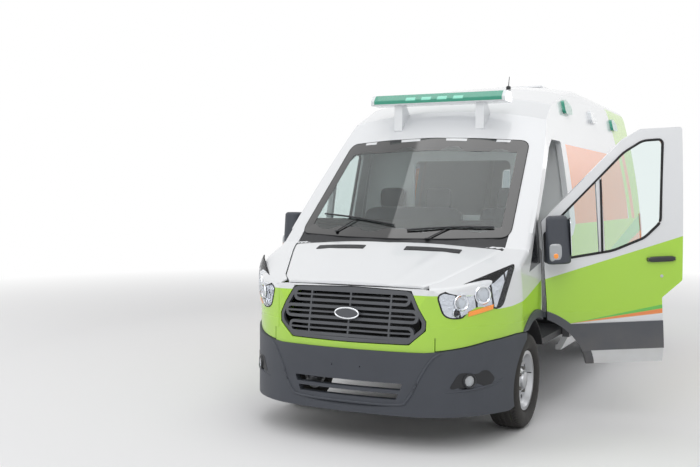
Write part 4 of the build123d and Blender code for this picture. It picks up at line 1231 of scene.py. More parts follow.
@dataclass
class Bonnet:
    """The whole bonnet skin, its front lip and the dark inserts of its air slots."""

    thick: float = 0.020
    gap: float = 0.007
    lip: float = 1.078
    edge_turn: float = 0.006
    crease: float = 0.004
    # the lip's two lines in front of the skin's edge, (forward, down), then its foot
    lip_lines: tuple[Pair, ...] = ((0.002, 0.008), (0.0, 0.0015))
    lip_foot: Pair = (0.004, 0.014)
    lip_back: float = 0.018
    slot_middle: Pair = (0.368, 0.642)
    slot_half: Pair = (0.205, 0.027)
    slot_slant: float = 0.020

    def grid(self, columns: int = 81, rows: int = 48) -> tuple[Array, Array, Array]:
        """Places over the bonnet: across = share of the half width, behind the nose = share of the run.

        Args:
            columns: places across.
            rows: places from front to rear.

        Returns:
            Across, behind the nose and above the ground.
        """
        s = np.linspace(-1, 1, columns)[None, :]
        t = np.linspace(0, 1, rows)[:, None] ** 1.4
        rear = np.interp(np.abs(s) * 0.84, BONNET_REAR[:, 0], BONNET_REAR[:, 1]) - self.gap
        fall = (s * 0.476) ** 2 / (2 * NOSE.bonnet_radius)
        front = 0.079 + np.maximum(fall - 0.008, 0.0) / math.tan(NOSE.bonnet_slope)
        y = front + (rear - front) * t
        x = s * (np.interp(y, BONNET_EDGE[:, 1], BONNET_EDGE[:, 0]) - self.gap)
        crease = self.crease * np.exp(-(((np.abs(x) - 0.30 - 0.28 * (y - 0.08)) / 0.045) ** 2))
        edge = np.clip((1 - np.abs(s)) / 0.02, 0, 1)
        z = NOSE.bonnet(x, y) + crease * np.sin(np.pi * t) ** 0.5
        return x, y, z - self.edge_turn * (1 - np.sqrt(edge)) * np.ones_like(z)

    def skin(self) -> Surface:
        """The skin over its own inner face, closed round the front lip.

        Returns:
            Points and faces.
        """
        x, y, z = self.grid()
        over = np.stack((x, aft(y), up(z)), axis=-1)
        lips = [np.stack((x[0], aft(y[0] - out), up(z[0] - down)), axis=-1) for out, down in self.lip_lines]
        out, down = self.lip_foot
        foot = np.stack((x[0], aft(y[0] - out), up(np.minimum(z[0] - down, self.lip))), axis=-1)
        outer = np.concatenate((np.stack(lips), over))
        inner = np.concatenate((np.stack((foot, foot + (0, self.lip_back, 0.0))), over - (0, 0, self.thick)))
        return walled(outer, inner)

    def slot(self, side: Side) -> Surface:
        """One air slot's insert: a thin plate on the skin with upright ribs inside a plain rim.

        Args:
            side: the vehicle's side.

        Returns:
            Points and faces.
        """
        u, v = np.meshgrid(np.linspace(-1, 1, 121), np.linspace(-1, 1, 15), indexing="ij")
        across = side.value * (self.slot_middle[0] + self.slot_half[0] * u)
        along = self.slot_middle[1] + self.slot_half[1] * v + self.slot_slant * u
        ribs = 0.0022 * (np.cos(u * np.pi * 22) > 0.1) - 0.0012
        edge = np.maximum(np.abs(u) ** 30, np.abs(v) ** 10)
        height = NOSE.bonnet(across, along) + 0.0042 + np.where(edge > 0.5, 0.0012, ribs)
        top = np.stack((across, aft(along), up(height)), axis=-1)
        return walled(top, top - (0, 0, 0.012))

    def build(self, paint: Material) -> None:
        """Makes the skin and the inserts.

        Args:
            paint: the livery.
        """
        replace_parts(piece("bonnet_skin", *self.skin(), paint, "bonnet", "body_white"), "bonnet")
        for side in Side:
            insert = self.slot(side)
            piece(f"{side.label}_air_slot", *insert, BLACK_TRIM.build(), "bonnet", "grey_trim", smooth=False)


@dataclass
class WingSkins:
    """The wings' skins, from the nose's corner over the shoulder to the bonnet and the pillar's foot."""

    proud: float = 0.0015
    thick: float = 0.010
    shoulder: float = 0.034
    front: float = 0.558  # across, where the skin starts beside the grille
    rear: Pair = (1.040, 1.1735)
    # the inner line, (across, behind the nose), and the share of the skin's length at each of its points
    inner_line: tuple[Pair, ...] = (
        (0.540, 0.135), (0.600, 0.215), (0.806, 0.690), (0.846, 0.800), (0.843, 0.900), (0.843, 1.1735),
    )
    inner_shares: tuple[float, ...] = (0.0, 0.12, 0.60, 0.72, 0.80, 1.0)
    # the foot, (behind the nose, above the ground)
    foot_line: tuple[Pair, ...] = ((0.0, 0.752), (0.45, 0.757), (0.75, 0.905), (1.2, 0.905))
    steps: tuple[int, int, int] = (16, 7, 14)  # up the wall, round the shoulder, and over

    def rim(self) -> tuple[Array, Array]:
        """The skin's two lines in plan.

        Returns:
            The left side's line from beside the grille to the door, and the inner line it is joined to.
        """
        curve = NOSE.plan()
        curve = curve[(curve[:, 0] > self.front) & (curve[:, 1] < self.rear[1])]
        curve = np.vstack((curve, [self.rear]))
        steps = np.linalg.norm(np.diff(curve, axis=0), axis=1)
        length = np.concatenate(([0.0], np.cumsum(steps)))
        share = np.linspace(0, 1, 120)
        inner = np.array(self.inner_line)
        side = [np.interp(share * length[-1], length, curve[:, k]) for k in (0, 1)]
        return np.stack(side, axis=-1), np.stack(
            [np.interp(share, self.inner_shares, inner[:, k]) for k in (0, 1)], axis=-1
        )

    def facing(self, side: Array) -> Array:
        """Directions out of the skin: square to the wall in plan, then turning upwards over the shoulder.

        Args:
            side: the side's line in plan.

        Returns:
            One direction for each place and step.
        """
        up_wall, round_bend, over = self.steps
        ahead = np.gradient(side, axis=0)
        normal = np.stack((ahead[:, 1], -ahead[:, 0]), axis=-1)
        normal /= np.linalg.norm(normal, axis=1, keepdims=True)
        share = np.concatenate((np.zeros(up_wall), np.linspace(0, 1, round_bend), np.ones(over)))
        share = share[None, :, None]
        facing = np.concatenate((normal[:, None] * (1 - share), share * np.ones((len(side), 1, 1))), axis=-1)
        return facing / np.linalg.norm(facing, axis=-1, keepdims=True)

    def section(self) -> tuple[Array, Array]:
        """The skin's section at every place along it.

        The wall rises at the side's half width, turns over a quadratic curve as high as the shoulder, and
        then runs straight in plan to the inner line at the height of the nose's top.

        Returns:
            Outer and inner points.
        """
        up_wall, round_bend, over_count = self.steps
        side, inner = self.rim()
        foot = np.interp(side[:, 1], *np.array(self.foot_line).T)
        crest = NOSE.top(np.minimum(side[:, 0], NOSE.side(1.2)), side[:, 1])
        t = np.linspace(0, 1, up_wall)[None, :]
        wall_z = foot[:, None] + (crest - self.shoulder - foot)[:, None] * t
        wall_x = np.minimum(side[:, 0:1], NOSE.side(wall_z))
        wall_y = np.maximum(side[:, 1:2], NOSE.rake * np.maximum(wall_z - NOSE.rake_foot, 0.0))
        wall = np.stack((wall_x, wall_y, wall_z), axis=-1)
        head = wall[:, -1, :2]
        run = inner - head
        reach = np.linalg.norm(run, axis=1, keepdims=True)
        near = head + run * np.minimum(self.shoulder / reach, 0.5)
        over = near[:, None] + (inner - near)[:, None] * np.linspace(0, 1, over_count)[None, :, None]
        roof = np.concatenate((over, NOSE.top(over[..., 0], over[..., 1])[..., None]), axis=-1)
        corner = np.concatenate((head, crest[:, None]), axis=1)[:, None]
        q = np.linspace(0, 1, round_bend + 2)[None, 1:-1, None]
        bend = (1 - q) ** 2 * wall[:, -1:] + 2 * q * (1 - q) * corner + q**2 * roof[:, :1]
        facing = self.facing(side)
        outer = np.concatenate((wall, bend, roof), axis=1) + facing * self.proud
        return outer, outer - facing * self.thick

    def build(self, paint: Material) -> None:
        """Makes both skins.

        Args:
            paint: the livery.
        """
        outer, inner = self.section()
        ring = np.concatenate((outer, inner[:, ::-1]), axis=1)
        for side in Side:
            grid = np.stack((ring[..., 0] * side.value, aft(ring[..., 1]), up(ring[..., 2])), axis=-1)
            piece(f"{side.label}_wing_skin", *capped(grid), paint, "body", "body_white")


@dataclass
class Headlamps:
    """Each headlamp: housing with bright and dark zones, rings with projectors, indicator and clear lens."""

    centre: Pair = (0.750, 0.350)
    turn: float = math.radians(50.0)
    outline: tuple[Pair, ...] = (
        (-0.288, 1.036), (0.330, 1.230), (0.208, 0.946), (-0.172, 0.878), (-0.246, 0.896),
    )
    corner: float = 0.040
    # name, place along the face, height, radius and lens
    beams: tuple[tuple[str, float, float, float, Finish], ...] = (
        ("dipped_beam", -0.132, 0.985, 0.052, CLEAR_BULB),
        ("main_beam", 0.030, 1.032, 0.060, CLEAR_BULB),
        ("corner_lamp", -0.165, 0.918, 0.026, LAMP_DARK),
    )
    # profiles of a ring and a lens, (share of the radius, out)
    ring: tuple[Pair, ...] = ((0.78, -0.004), (0.80, 0.004), (0.96, 0.0085), (1.06, 0.0045), (1.06, -0.004))
    dome: tuple[Pair, ...] = ((0.3, 0.0088), (0.6, 0.0058), (0.76, 0.0), (0.76, -0.004))
    indicator: Pair = (0.020, 0.929)
    indicator_half: Pair = (0.100, 0.016)

    def outward(self, side: Side) -> Array:
        """The direction a lamp faces."""
        return np.array((side.value * math.sin(self.turn), -math.cos(self.turn), 0.0))

    def place(self, u: Array, z: Array, off: Array, side: Side) -> Array:
        """Points on the nose's wall, by the place along the lamp's face and the height, moved off the wall.

        The wall's line in plan is turned to the lamp's own axes, along its face and outwards, and read there.

        Args:
            u: place along the lamp's face.
            z: height above the ground.
            off: distance off the wall.
            side: the vehicle's side.

        Returns:
            Points in the row frame.
        """
        along = np.array((math.cos(self.turn), math.sin(self.turn)))
        outward = self.outward(Side.LEFT)[:2]
        curve = NOSE.plan() - self.centre
        order = np.argsort(curve @ along)
        u, z, off = (np.asarray(v, float) for v in (u, z, off))
        depth = np.interp(u, (curve @ along)[order], (curve @ outward)[order])
        spot = np.asarray(self.centre) + u[..., None] * along + (depth + off)[..., None] * outward
        x = np.minimum(spot[..., 0], NOSE.side(z) + off)
        return np.stack((side.value * x, aft(spot[..., 1]), up(z)), axis=-1)

    def shell(self, shrink: float, base: float, rise: float, side: Side) -> Surface:
        """A closed shell over the outline whose face stands base + rise (1 - r^4) off the wall.

        Args:
            shrink: how far the outline is drawn inwards.
            base: distance off the wall at its edge.
            rise: more in its middle.
            side: the vehicle's side.

        Returns:
            Points and faces.
        """
        r, places = spread(inset(rounded(self.outline, self.corner, 8), shrink), 14)
        u, z = places[..., 0], places[..., 1]
        face = self.place(u, z, base + rise * (1 - r**4), side)
        foot = self.place(u, z, np.full_like(u, base - 0.003), side)
        return capped(np.concatenate((face, foot[::-1])))

    def housing(self) -> Material:
        """Bright reflectors with a dark outer strip and dark seams, by the place along the face.

        Returns:
            The material.
        """
        if "headlamp_housing_zones" in bpy.data.materials:
            return bpy.data.materials["headlamp_housing_zones"]
        shader = Shader("headlamp_housing_zones")
        x, y, z, _ = shader.axes()
        parts = ((x, self.centre[0], math.cos(self.turn)), (y, self.centre[1], math.sin(self.turn)))
        shares = [shader.calc("MULTIPLY", shader.calc("SUBTRACT", v, mid), part) for v, mid, part in parts]
        u = shader.calc("ADD", *shares)
        slant = shader.calc("MULTIPLY_ADD", shader.calc("SUBTRACT", z, 0.94), -0.42, u)
        low = shader.above(shader.calc("MULTIPLY_ADD", u, 0.16, 0.915), z, 0.002)
        phase = shader.calc("MULTIPLY_ADD", u, 46.0, shader.calc("MULTIPLY", z, 9.0))
        seams = shader.above(shader.calc("SINE", phase), 0.93, 0.03)
        dark = shader.either(shader.above(slant, 0.146, 0.002), low, seams)
        shader.set(Base_Color=shader.blend(dark, (0.62, 0.65, 0.70), (0.018, 0.019, 0.022)))
        metal = shader.calc("SUBTRACT", 0.9, shader.calc("MULTIPLY", dark, 0.9))
        shader.set(Metallic=metal, Roughness=0.16)
        shader.bump(shader.noise(26.0, 2.0), 0.012, 0.9)
        return shader.material

    def amber(self, side: Side) -> Surface:
        """The indicator: a strip that crowns as (1 - u^4)(1 - v^4).

        Args:
            side: the vehicle's side.

        Returns:
            Points and faces.
        """
        u, v = np.meshgrid(np.linspace(-1, 1, 33), np.linspace(-1, 1, 9), indexing="ij")
        off = 0.0085 + 0.004 * (1 - u**4) * (1 - v**4)
        along = self.indicator[0] + self.indicator_half[0] * u
        height = self.indicator[1] + 0.020 * u + self.indicator_half[1] * v
        face, back = (self.place(along, height, stand, side) for stand in (off, off * 0 + 0.005))
        return walled(face, back)

    def build(self) -> None:
        """Makes both headlamps."""
        for side in Side:
            def add(label: str, surface: Surface, finish: Material) -> None:
                """One piece of this side's lamp."""
                piece(f"{side.label}_{label}", *surface, finish, "body", "lamp_clear")

            add("lamp_seal", self.shell(-0.005, 0.0045, 0.0, side), RUBBER.build())
            add("lamp_housing", self.shell(0.004, 0.0062, 0.0, side), self.housing())
            for label, u, z, radius, lens in self.beams:
                spot = self.place(np.array(u), np.array(z), np.array(0.006), side)
                ring = [(radius * share, out) for share, out in self.ring]
                dome = [(radius * share, out) for share, out in self.dome]
                dome = [(0.0004, 0.0095), *dome, (0.0004, -0.004)]
                add(f"{label}_ring", revolved(ring, spot, self.outward(side)), CHROME.build())
                add(f"{label}_lens", revolved(dome, spot, self.outward(side)), lens.build())
            add("indicator", self.amber(side), AMBER.build())
            add("lamp_lens", self.shell(0.0, 0.0085, 0.014, side), LENS.build())


@dataclass
class BumperTrim:
    """The bumper's raised frame round the air intake, and its fog lamp pods."""

    proud: float = 0.014
    ridge: float = 0.010
    frame: tuple[Pair, ...] = (
        (-0.640, 0.655), (-0.585, 0.610), (-0.520, 0.500), (-0.440, 0.345), (-0.360, 0.305), (0.0, 0.300),
        (0.360, 0.305), (0.440, 0.345), (0.520, 0.500), (0.585, 0.610), (0.640, 0.655),
    )
    pod: tuple[Pair, ...] = (
        (-0.215, 0.418), (-0.150, 0.520), (0.075, 0.532), (0.140, 0.470), (0.090, 0.420),
    )
    pod_corner: float = 0.026
    pod_face: float = 0.0165
    pod_foot: float = 0.0120
    lamp: Pair = (-0.072, 0.468)
    # profiles of the lamp's ring and lens, (radius, out)
    ring: tuple[Pair, ...] = (
        (0.036, -0.002), (0.037, 0.006), (0.045, 0.010), (0.050, 0.004), (0.050, -0.002),
    )
    dome: tuple[Pair, ...] = (
        (0.0004, 0.008), (0.018, 0.0068), (0.030, 0.0040), (0.036, 0.0), (0.036, -0.002), (0.0004, -0.002),
    )

    def face(self, x: Array, z: Array, off: float) -> Array:
        """Points on the bumper's face, off it: the nose's outline moved forward by the bumper's stand.

        Args:
            x: across.
            z: above the ground.
            off: distance off the face.

        Returns:
            Points in the row frame.
        """
        curve = NOSE.plan()
        front = curve[curve[:, 1] < 0.5]
        y = np.interp(np.abs(x), front[:, 0], front[:, 1]) - self.proud - off
        return np.stack((x, aft(y), up(z)), axis=-1)

    def rib(self, lamps: Headlamps, side: Side) -> Surface:
        """The rib under a pod, which swells as the root of a sine.

        Args:
            lamps: the headlamps, whose axes it uses.
            side: the vehicle's side.

        Returns:
            Points and faces.
        """
        t = np.linspace(0, 1, 40)
        height = 0.395 + 0.030 * t + 0.030 * t**4
        line = lamps.place(-0.250 + 0.460 * t, height, np.full(40, 0.013), side)
        return tube(line, 0.009 * np.sin(np.pi * np.clip(t, 0.04, 0.96)) ** 0.5, count=10)

    def build(self, lamps: Headlamps) -> None:
        """Makes the frame, a rib under each pod, the pods and their lenses.

        Args:
            lamps: the headlamps, whose axes the pods use.
        """
        path = smooth_path(self.frame, 8)
        ridge = tube(self.face(path[:, 0], path[:, 1], -0.001), self.ridge, count=12)
        piece("intake_frame", *ridge, TRIM_GREY.build(), "body", "grey_trim")
        _, places = spread(rounded(self.pod, self.pod_corner, 8), 10)
        u, z = places[..., 0], places[..., 1]
        for side in Side:
            name = side.label
            piece(f"{name}_bumper_rib", *self.rib(lamps, side), TRIM_GREY.build(), "body", "grey_trim")
            face = lamps.place(u, z, np.full(u.shape, self.pod_face), side)
            foot = lamps.place(u, z, np.full(u.shape, self.pod_foot), side)
            pod = capped(np.concatenate((face, foot[::-1])))
            piece(f"{name}_fog_pod", *pod, BLACK_TRIM.build(), "body", "grey_trim")
            spot = lamps.place(np.array(self.lamp[0]), np.array(self.lamp[1]), np.array(0.0155), side)
            ring, dome = (revolved(shape, spot, lamps.outward(side)) for shape in (self.ring, self.dome))
            piece(f"{name}_fog_ring", *ring, LAMP_DARK.build(), "body", "lamp_clear")
            piece(f"{name}_fog_lens", *dome, CLEAR_BULB.build(), "body", "lamp_clear")


@dataclass
class ScreenGlass:
    """The whole windscreen and the black cowl at its foot. Each pair is (middle, side) or (foot, head)."""

    foot: Pair = (1.385, 1.405)
    head: Pair = (2.146, 2.112)
    half: Pair = (0.836, 0.763)
    corner: float = 0.028
    thick: float = 0.006
    cowl_half: float = 0.842
    cowl_thick: float = 0.030

    def foot_line(self, s: Array) -> Array:
        """Height of the glass's foot: it rises as the square of the share across."""
        return self.foot[0] + (self.foot[1] - self.foot[0]) * s**2

    def glass(self) -> Surface:
        """The glass, as a grid of the share across and the share up.

        Returns:
            Points and faces.
        """
        s, t = np.meshgrid(np.linspace(-1, 1, 61), np.linspace(0, 1, 41), indexing="ij")
        low = self.foot_line(s) + self.corner * np.abs(s) ** 40
        high = self.head[0] + (self.head[1] - self.head[0]) * s**2 - self.corner * np.abs(s) ** 40
        z = low + (high - low) * t
        x = s * (self.half[0] + (self.half[1] - self.half[0]) * t)
        return walled(on_screen(x, z, 0.0), on_screen(x, z, -self.thick))

    def cowl(self) -> Surface:
        """The cowl, from the bonnet's rear edge to the glass, just under the nose's top, finely ribbed.

        Returns:
            Points and faces.
        """
        s, t = np.meshgrid(np.linspace(-1, 1, 81), np.linspace(0, 1, 12), indexing="ij")
        x = s * self.cowl_half
        front = np.interp(np.abs(x), BONNET_REAR[:, 0], BONNET_REAR[:, 1]) + 0.001
        rear = on_screen(x, self.foot_line(s) + 0.004, 0.0)[..., 1] + LOCK_BEHIND_NOSE
        y = front + (rear - front) * t
        z = NOSE.top(x, y) - 0.004 + 0.002 * np.cos(y * 700.0)
        top = np.stack((x, aft(y), up(z)), axis=-1)
        return walled(top, top - (0, 0, self.cowl_thick))

    def build(self) -> None:
        """Makes the glass and the cowl."""
        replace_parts(piece("windscreen_glass", *self.glass(), GLASS.build(), "body", "glass"), "windscreen")
        piece("cowl", *self.cowl(), BLACK_TRIM.build(), "body", "cab_plastic")


@dataclass
class Grille:
    """Blank oval badge on the grille, with its bright rim."""

    height: float = 0.893
    half: Pair = (0.088, 0.036)
    rim: float = 0.006

    def build(self) -> None:
        """Makes the rim and the plain face."""
        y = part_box("grille")[0].y - 0.004
        shape = oval(*self.half)

        def ring(share: float, back: float) -> Array:
            """The oval at a share of its size, set back."""
            x, z = share * shape[:, 0], up(self.height) + share * shape[:, 1]
            return np.stack((x, np.full(len(shape), y + back), z), axis=-1)

        rim = tube(ring(1.0, 0.0), self.rim, closed=True, count=10)
        piece("badge_rim", *rim, CHROME.build(), "body", "grey_trim")
        face = plate(ring(0.99, 0.006), (0, 1, 0), 0.010)
        piece("badge_face", *face, GRILLE_GREY.build(), "body", "grey_trim")


@dataclass
class DoorFurniture:
    """Handles, window seals and mirror parts of the front doors, built shut and turned with the open door.

    Outlines are (behind the nose, above the ground).
    """

    window: tuple[Pair, ...] = (
        (1.235, 1.205), (1.700, 1.262), (1.930, 1.345), (2.050, 1.450),
        (2.105, 2.058), (1.960, 2.055), (1.815, 1.975), (1.235, 1.440),
    )
    sail: tuple[Pair, ...] = ((1.196, 1.192), (1.196, 1.412), (1.290, 1.475), (1.330, 1.208))
    bar: Pair = (1.255, 1.785)
    lock: tuple[Pair, ...] = ((0.0005, 0.0), (0.011, 0.0), (0.011, 0.004), (0.0005, 0.005))
    lock_place: Pair = (2.04, 1.06)
    lean_radius: float = 7.0  # of the side above the waist, drawn in by lean_share
    lean_share: float = 0.156 / 0.1539
    # rounded blocks: middle (across, behind the nose, above the ground), half sizes, and the form's two
    # exponents with its rings and points round; the mirror's have their piece, finish and slot first
    handle: tuple = ((1.022, 2.04, 1.185), (0.021, 0.104, 0.0205), (0.45, 0.5, 16, 48))
    mirror: tuple[tuple, ...] = (
        ("glass", CHROME, "glass", (1.127, 1.3685, 1.385), (0.068, 0.003, 0.135), (0.4, 0.35, 12, 40)),
        (
            "indicator", CLEAR_BULB, "lamp_clear",
            (1.196, 1.255, 1.285), (0.016, 0.046, 0.066), (0.5, 0.5, 16, 40),
        ),
        ("amber", AMBER, "lamp_clear", (1.206, 1.255, 1.262), (0.0085, 0.020, 0.022), (0.8, 0.8, 12, 24)),
    )

    def skin(self, y: Array, z: Array, lift: float, side: Side) -> Array:
        """Points on a front door's outer face: above the waist the side leans in on a circle.

        Args:
            y: behind the nose.
            z: above the ground.
            lift: distance off the face.
            side: the vehicle's side.

        Returns:
            Points in the row frame.
        """
        y, z = np.asarray(y, float), np.asarray(z, float)
        rise = np.maximum(z - NOSE.waist_top, 0.0)
        lean = self.lean_radius - np.sqrt(np.maximum(self.lean_radius**2 - rise**2, 0.0))
        x = NOSE.waist_half - lean * self.lean_share + lift
        return np.stack((side.value * x, aft(y), up(z)), axis=-1)

    def block(self, side: Side, middle: Sequence[float], half: Sequence[float], form: tuple) -> Surface:
        """A pillow at a place on the shut door, mirrored for the right side.

        Args:
            side: the vehicle's side.
            middle: across, behind the nose, above the ground.
            half: half sizes.
            form: the two exponents, rings and points round.

        Returns:
            Points and faces.
        """
        x, y, z = middle
        return pillow((side.value * x, aft(y), up(z)), half, *form)

    def build(self, door: OpenDoor) -> None:
        """Dresses both doors.

        Args:
            door: the left door's turn.
        """
        for side in Side:
            body = f"{side.label}_front_door"
            turn = door.turn if side is Side.LEFT else None

            def add(label: str, surface: Surface, finish: Finish, slot: str = "cab_plastic") -> None:
                """One piece of this door."""
                piece(f"{side.label}_{label}", *surface, finish.build(), body, slot, turn)

            line = rounded(self.window, 0.036)
            seal = self.skin(line[:, 0], line[:, 1], -0.006, side)
            add("window_seal", tube(seal, 0.016, closed=True, count=12, flat=0.6), RUBBER)
            t = np.linspace(*self.bar, 12)
            bar = self.skin(1.62 + 0.03 * (t - self.bar[0]), t, -0.004, side)
            add("window_bar", tube(bar, 0.024, count=12, flat=0.35), RUBBER)
            sail = rounded(self.sail, 0.018)
            faces = [self.skin(sail[:, 0], sail[:, 1], lift, side) for lift in (0.004, -0.004)]
            add("mirror_sail", capped(np.stack(faces)), BLACK_TRIM)
            add("door_handle", self.block(side, *self.handle), HANDLE_BLACK)
            spot = self.skin(*self.lock_place, -0.001, side)
            add("door_lock", revolved(self.lock, spot, (side.value, 0, 0), 24), SATIN_METAL, "bare_steel")
            for label, finish, slot, *form in self.mirror:
                add(f"mirror_{label}", self.block(side, *form), finish, slot)


@dataclass
class Cushions:
    """Padded seats on plain bases, in the space of their CAD solids."""

    lean: float = math.radians(-15.5)
    head_lean: float = math.radians(-6.0)
    cushion_lean: float = math.radians(2.0)
    channel: float = 0.006
    # middles of a cab seat's parts, (behind the nose, above the ground)
    base_at: Pair = (1.85, 0.765)
    cushion_at: Pair = (1.835, 1.005)
    back_at: Pair = (2.105, 1.325)
    head_at: Pair = (2.208, 1.665)
    head_half: tuple[float, float, float] = (0.118, 0.045, 0.094)
    fill: float = 0.75
    head_fill: float = 0.85
    bench_fill: float = 0.8
    bench: Pair = (-0.700, 3.98)  # across, and behind the nose

    def seat(
        self, label: str, node: str, middle: float, half: float, heads: Sequence[float], material: Finish
    ) -> None:
        """One cab seat: a base, a cushion, a back and its head rests.

        Args:
            label: start of the pieces' names.
            node: the CAD solid it stands for.
            middle: across.
            half: half width.
            heads: middles of the head rests.
            material: the cover.
        """
        cover = material.build()
        channels = 2 if half > 0.3 else 1

        def at(place: Pair, across: float = middle) -> tuple[float, float, float]:
            """A part's middle in the row frame."""
            return (across, aft(place[0]), up(place[1]))

        base = pillow(at(self.base_at), (half - 0.042, 0.205, 0.163), 0.12, 0.12, 16, 48)
        piece(f"{label}_base", *base, CAB_PLASTIC.build(), "body", "cab_plastic")
        size = (half - 0.004, 0.250, 0.078)
        sewn = (self.cushion_lean, channels, self.channel)
        pad = pillow(at(self.cushion_at), size, 0.22, 0.42, 28, 72, *sewn)
        cushion = piece(f"{label}_cushion", *pad, cover, "body", "cloth")
        size = (half - 0.004, 0.075, 0.262)
        rest = pillow(at(self.back_at), size, 0.40, 0.25, 32, 72, self.lean, channels, 0.0)
        back = piece(f"{label}_back", *rest, cover, "body", "cloth")
        for k, head in enumerate(heads):
            pad = pillow(at(self.head_at, head), self.head_half, 0.45, 0.45, 18, 40, self.head_lean)
            own = piece(f"{label}_head_rest_{k + 1}", *pad, cover, "body", "cloth")
        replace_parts(cushion, node)

    def build(self) -> None:
        """Makes the driver's seat, the double seat and the attendant's bench."""
        self.seat("driver_seat", "driver_seat", 0.480, 0.250, (0.480,), CLOTH)
        self.seat("double_seat", "passenger_bench", -0.400, 0.470, (-0.620, -0.180), CLOTH)
        x, y = self.bench[0], aft(self.bench[1])
        box = pillow((x, y, up(0.905)), (0.176, 0.255, 0.203), 0.1, 0.1, 14, 40)
        piece("attendant_base", *box, LAMINATE.build(), "body", "cabinet_laminate")
        pad = pillow((x, y, up(1.098)), (0.180, 0.258, 0.045), 0.3, 0.45, 24, 60)
        cushion = piece("attendant_cushion", *pad, VINYL_SEAT.build(), "body", "cloth")
        back = pillow((-0.826, y, up(1.40)), (0.042, 0.255, 0.285), 0.35, 0.3, 28, 56)
        rest = piece("attendant_back", *back, VINYL_SEAT.build(), "body", "cloth")
        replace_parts(cushion, "attendant_bench")


@dataclass
class Roof:
    """Whip antenna on the roof."""

    x: float = 0.28
    back: float = 2.78
    height: float = 2.672
    # the whip's points, (across, rearwards, upwards) from the foot, and its radius from foot to tip
    whip: tuple[tuple[float, float, float], ...] = (
        (0.0, 0.0, 0.02), (0.001, 0.006, 0.07), (0.003, 0.016, 0.12),
    )
    radius: Pair = (0.0045, 0.0025)

    def build(self) -> None:
        """Makes the antenna on its foot, no higher than the roof vent."""
        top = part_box("roof_vent")[1].z
        middle = (self.x, aft(self.back), up(self.height + 0.012))
        foot = pillow(middle, (0.020, 0.030, 0.022), 0.8, 0.6, 14, 28)
        points = np.array(self.whip) + (self.x, aft(self.back), up(self.height))
        points[1:, 2] = np.minimum(points[1:, 2], top)
        path = smooth_path(points, 8)
        shape = joined([foot, tube(path, np.linspace(*self.radius, len(path)), count=10)])
        piece("antenna", *shape, BLACK_TRIM.build(), "body", "grey_trim")


@dataclass
class Rear:
    """Hinges and the handle on the rear doors."""

    heights: tuple[float, ...] = (0.78, 1.38, 1.95)
    hinge: Pair = (0.866, 5.914)
    knuckle: tuple[Pair, ...] = ((0.0005, -0.035), (0.011, -0.035), (0.011, 0.035), (0.0005, 0.035))

    def build(self) -> None:
        """Makes three hinge knuckles on each side and the handle's grip."""
        for side in Side:
            x, y = side.value * self.hinge[0], aft(self.hinge[1])
            knuckles = [revolved(self.knuckle, (x, y, up(height)), (0, 0, 1), 20) for height in self.heights]
            piece(f"{side.label}_rear_hinges", *joined(knuckles), HANDLE_BLACK.build(), "body", "grey_trim")
        grip = pillow((0.145, aft(5.915), up(1.115)), (0.100, 0.012, 0.024), 0.4, 0.5, 16, 40)
        piece("rear_door_handle", *grip, HANDLE_BLACK.build(), "left_rear_door", "grey_trim")


@dataclass
class LampFinishes:
    """Materials of the roof lights and the tail lamps, zoned by place."""

    green: RGB = (0.0, 0.29, 0.18)
    bright_green: RGB = (0.25, 0.80, 0.62)
    bar_end: RGB = (0.72, 0.76, 0.78)
    bracket: RGB = (0.76, 0.78, 0.80)
    side_clear: RGB = (0.74, 0.77, 0.80)
    tail_clear: RGB = (0.74, 0.76, 0.78)
    tail_red: RGB = (0.55, 0.012, 0.015)
    tail_amber: RGB = (0.90, 0.26, 0.02)
    segments: tuple[float, ...] = (-0.23, -0.09, 0.05, 0.19)
    segment_half: float = 0.042

    def light_bar(self) -> Material:
        """Green lens with four bright segments, clear ends, and white brackets under it.

        Returns:
            The material.
        """
        shader = Shader("light_bar_lens")
        x, _, z, signed = shader.axes()
        in_height = shader.between(z, 2.484, 2.512, 0.003)
        bright: object = 0.0
        for middle in self.segments:
            edges = (middle - self.segment_half, middle + self.segment_half)
            bright = shader.either(bright, shader.both(shader.between(signed, *edges, 0.004), in_height))
        colour = shader.blend(shader.calc("MULTIPLY", bright, 0.85), self.green, self.bright_green)
        colour = shader.blend(shader.above(x, 0.562, 0.002), colour, self.bar_end)
        housing = shader.above(2.462, z, 0.001)
        colour = shader.blend(housing, colour, self.bracket)
        shader.lens(colour, shader.calc("MULTIPLY_ADD", housing, 0.25, 0.10))
        wave = shader.calc("SINE", shader.calc("MULTIPLY", signed, 620.0))
        shader.bump(shader.calc("MULTIPLY", wave, shader.calc("SUBTRACT", 1.0, housing)), 0.0012, 0.6)
        return shader.material

    def side_lamps(self) -> Material:
        """Green lenses fore and aft with a clear one between them.

        Returns:
            The material.
        """
        shader = Shader("side_lamp_lens")
        _, y, _, _ = shader.axes()
        shader.lens(shader.blend(shader.between(y, 3.3, 4.4, 0.01), self.green, self.side_clear))
        shader.bump(shader.calc("SINE", shader.calc("MULTIPLY", y, 500.0)), 0.001, 0.5)
        return shader.material

    def tail(self) -> Material:
        """Red lamps with an amber and a clear zone.

        Returns:
            The material.
        """
        shader = Shader("tail_lamp_lens")
        _, _, z, _ = shader.axes()
        colour = shader.blend(shader.between(z, 1.16, 1.30, 0.002), self.tail_red, self.tail_amber)
        shader.lens(shader.blend(shader.between(z, 1.02, 1.155, 0.002), colour, self.tail_clear))
        shader.bump(shader.calc("SINE", shader.calc("MULTIPLY", z, 900.0)), 0.0008, 0.5)
        return shader.material


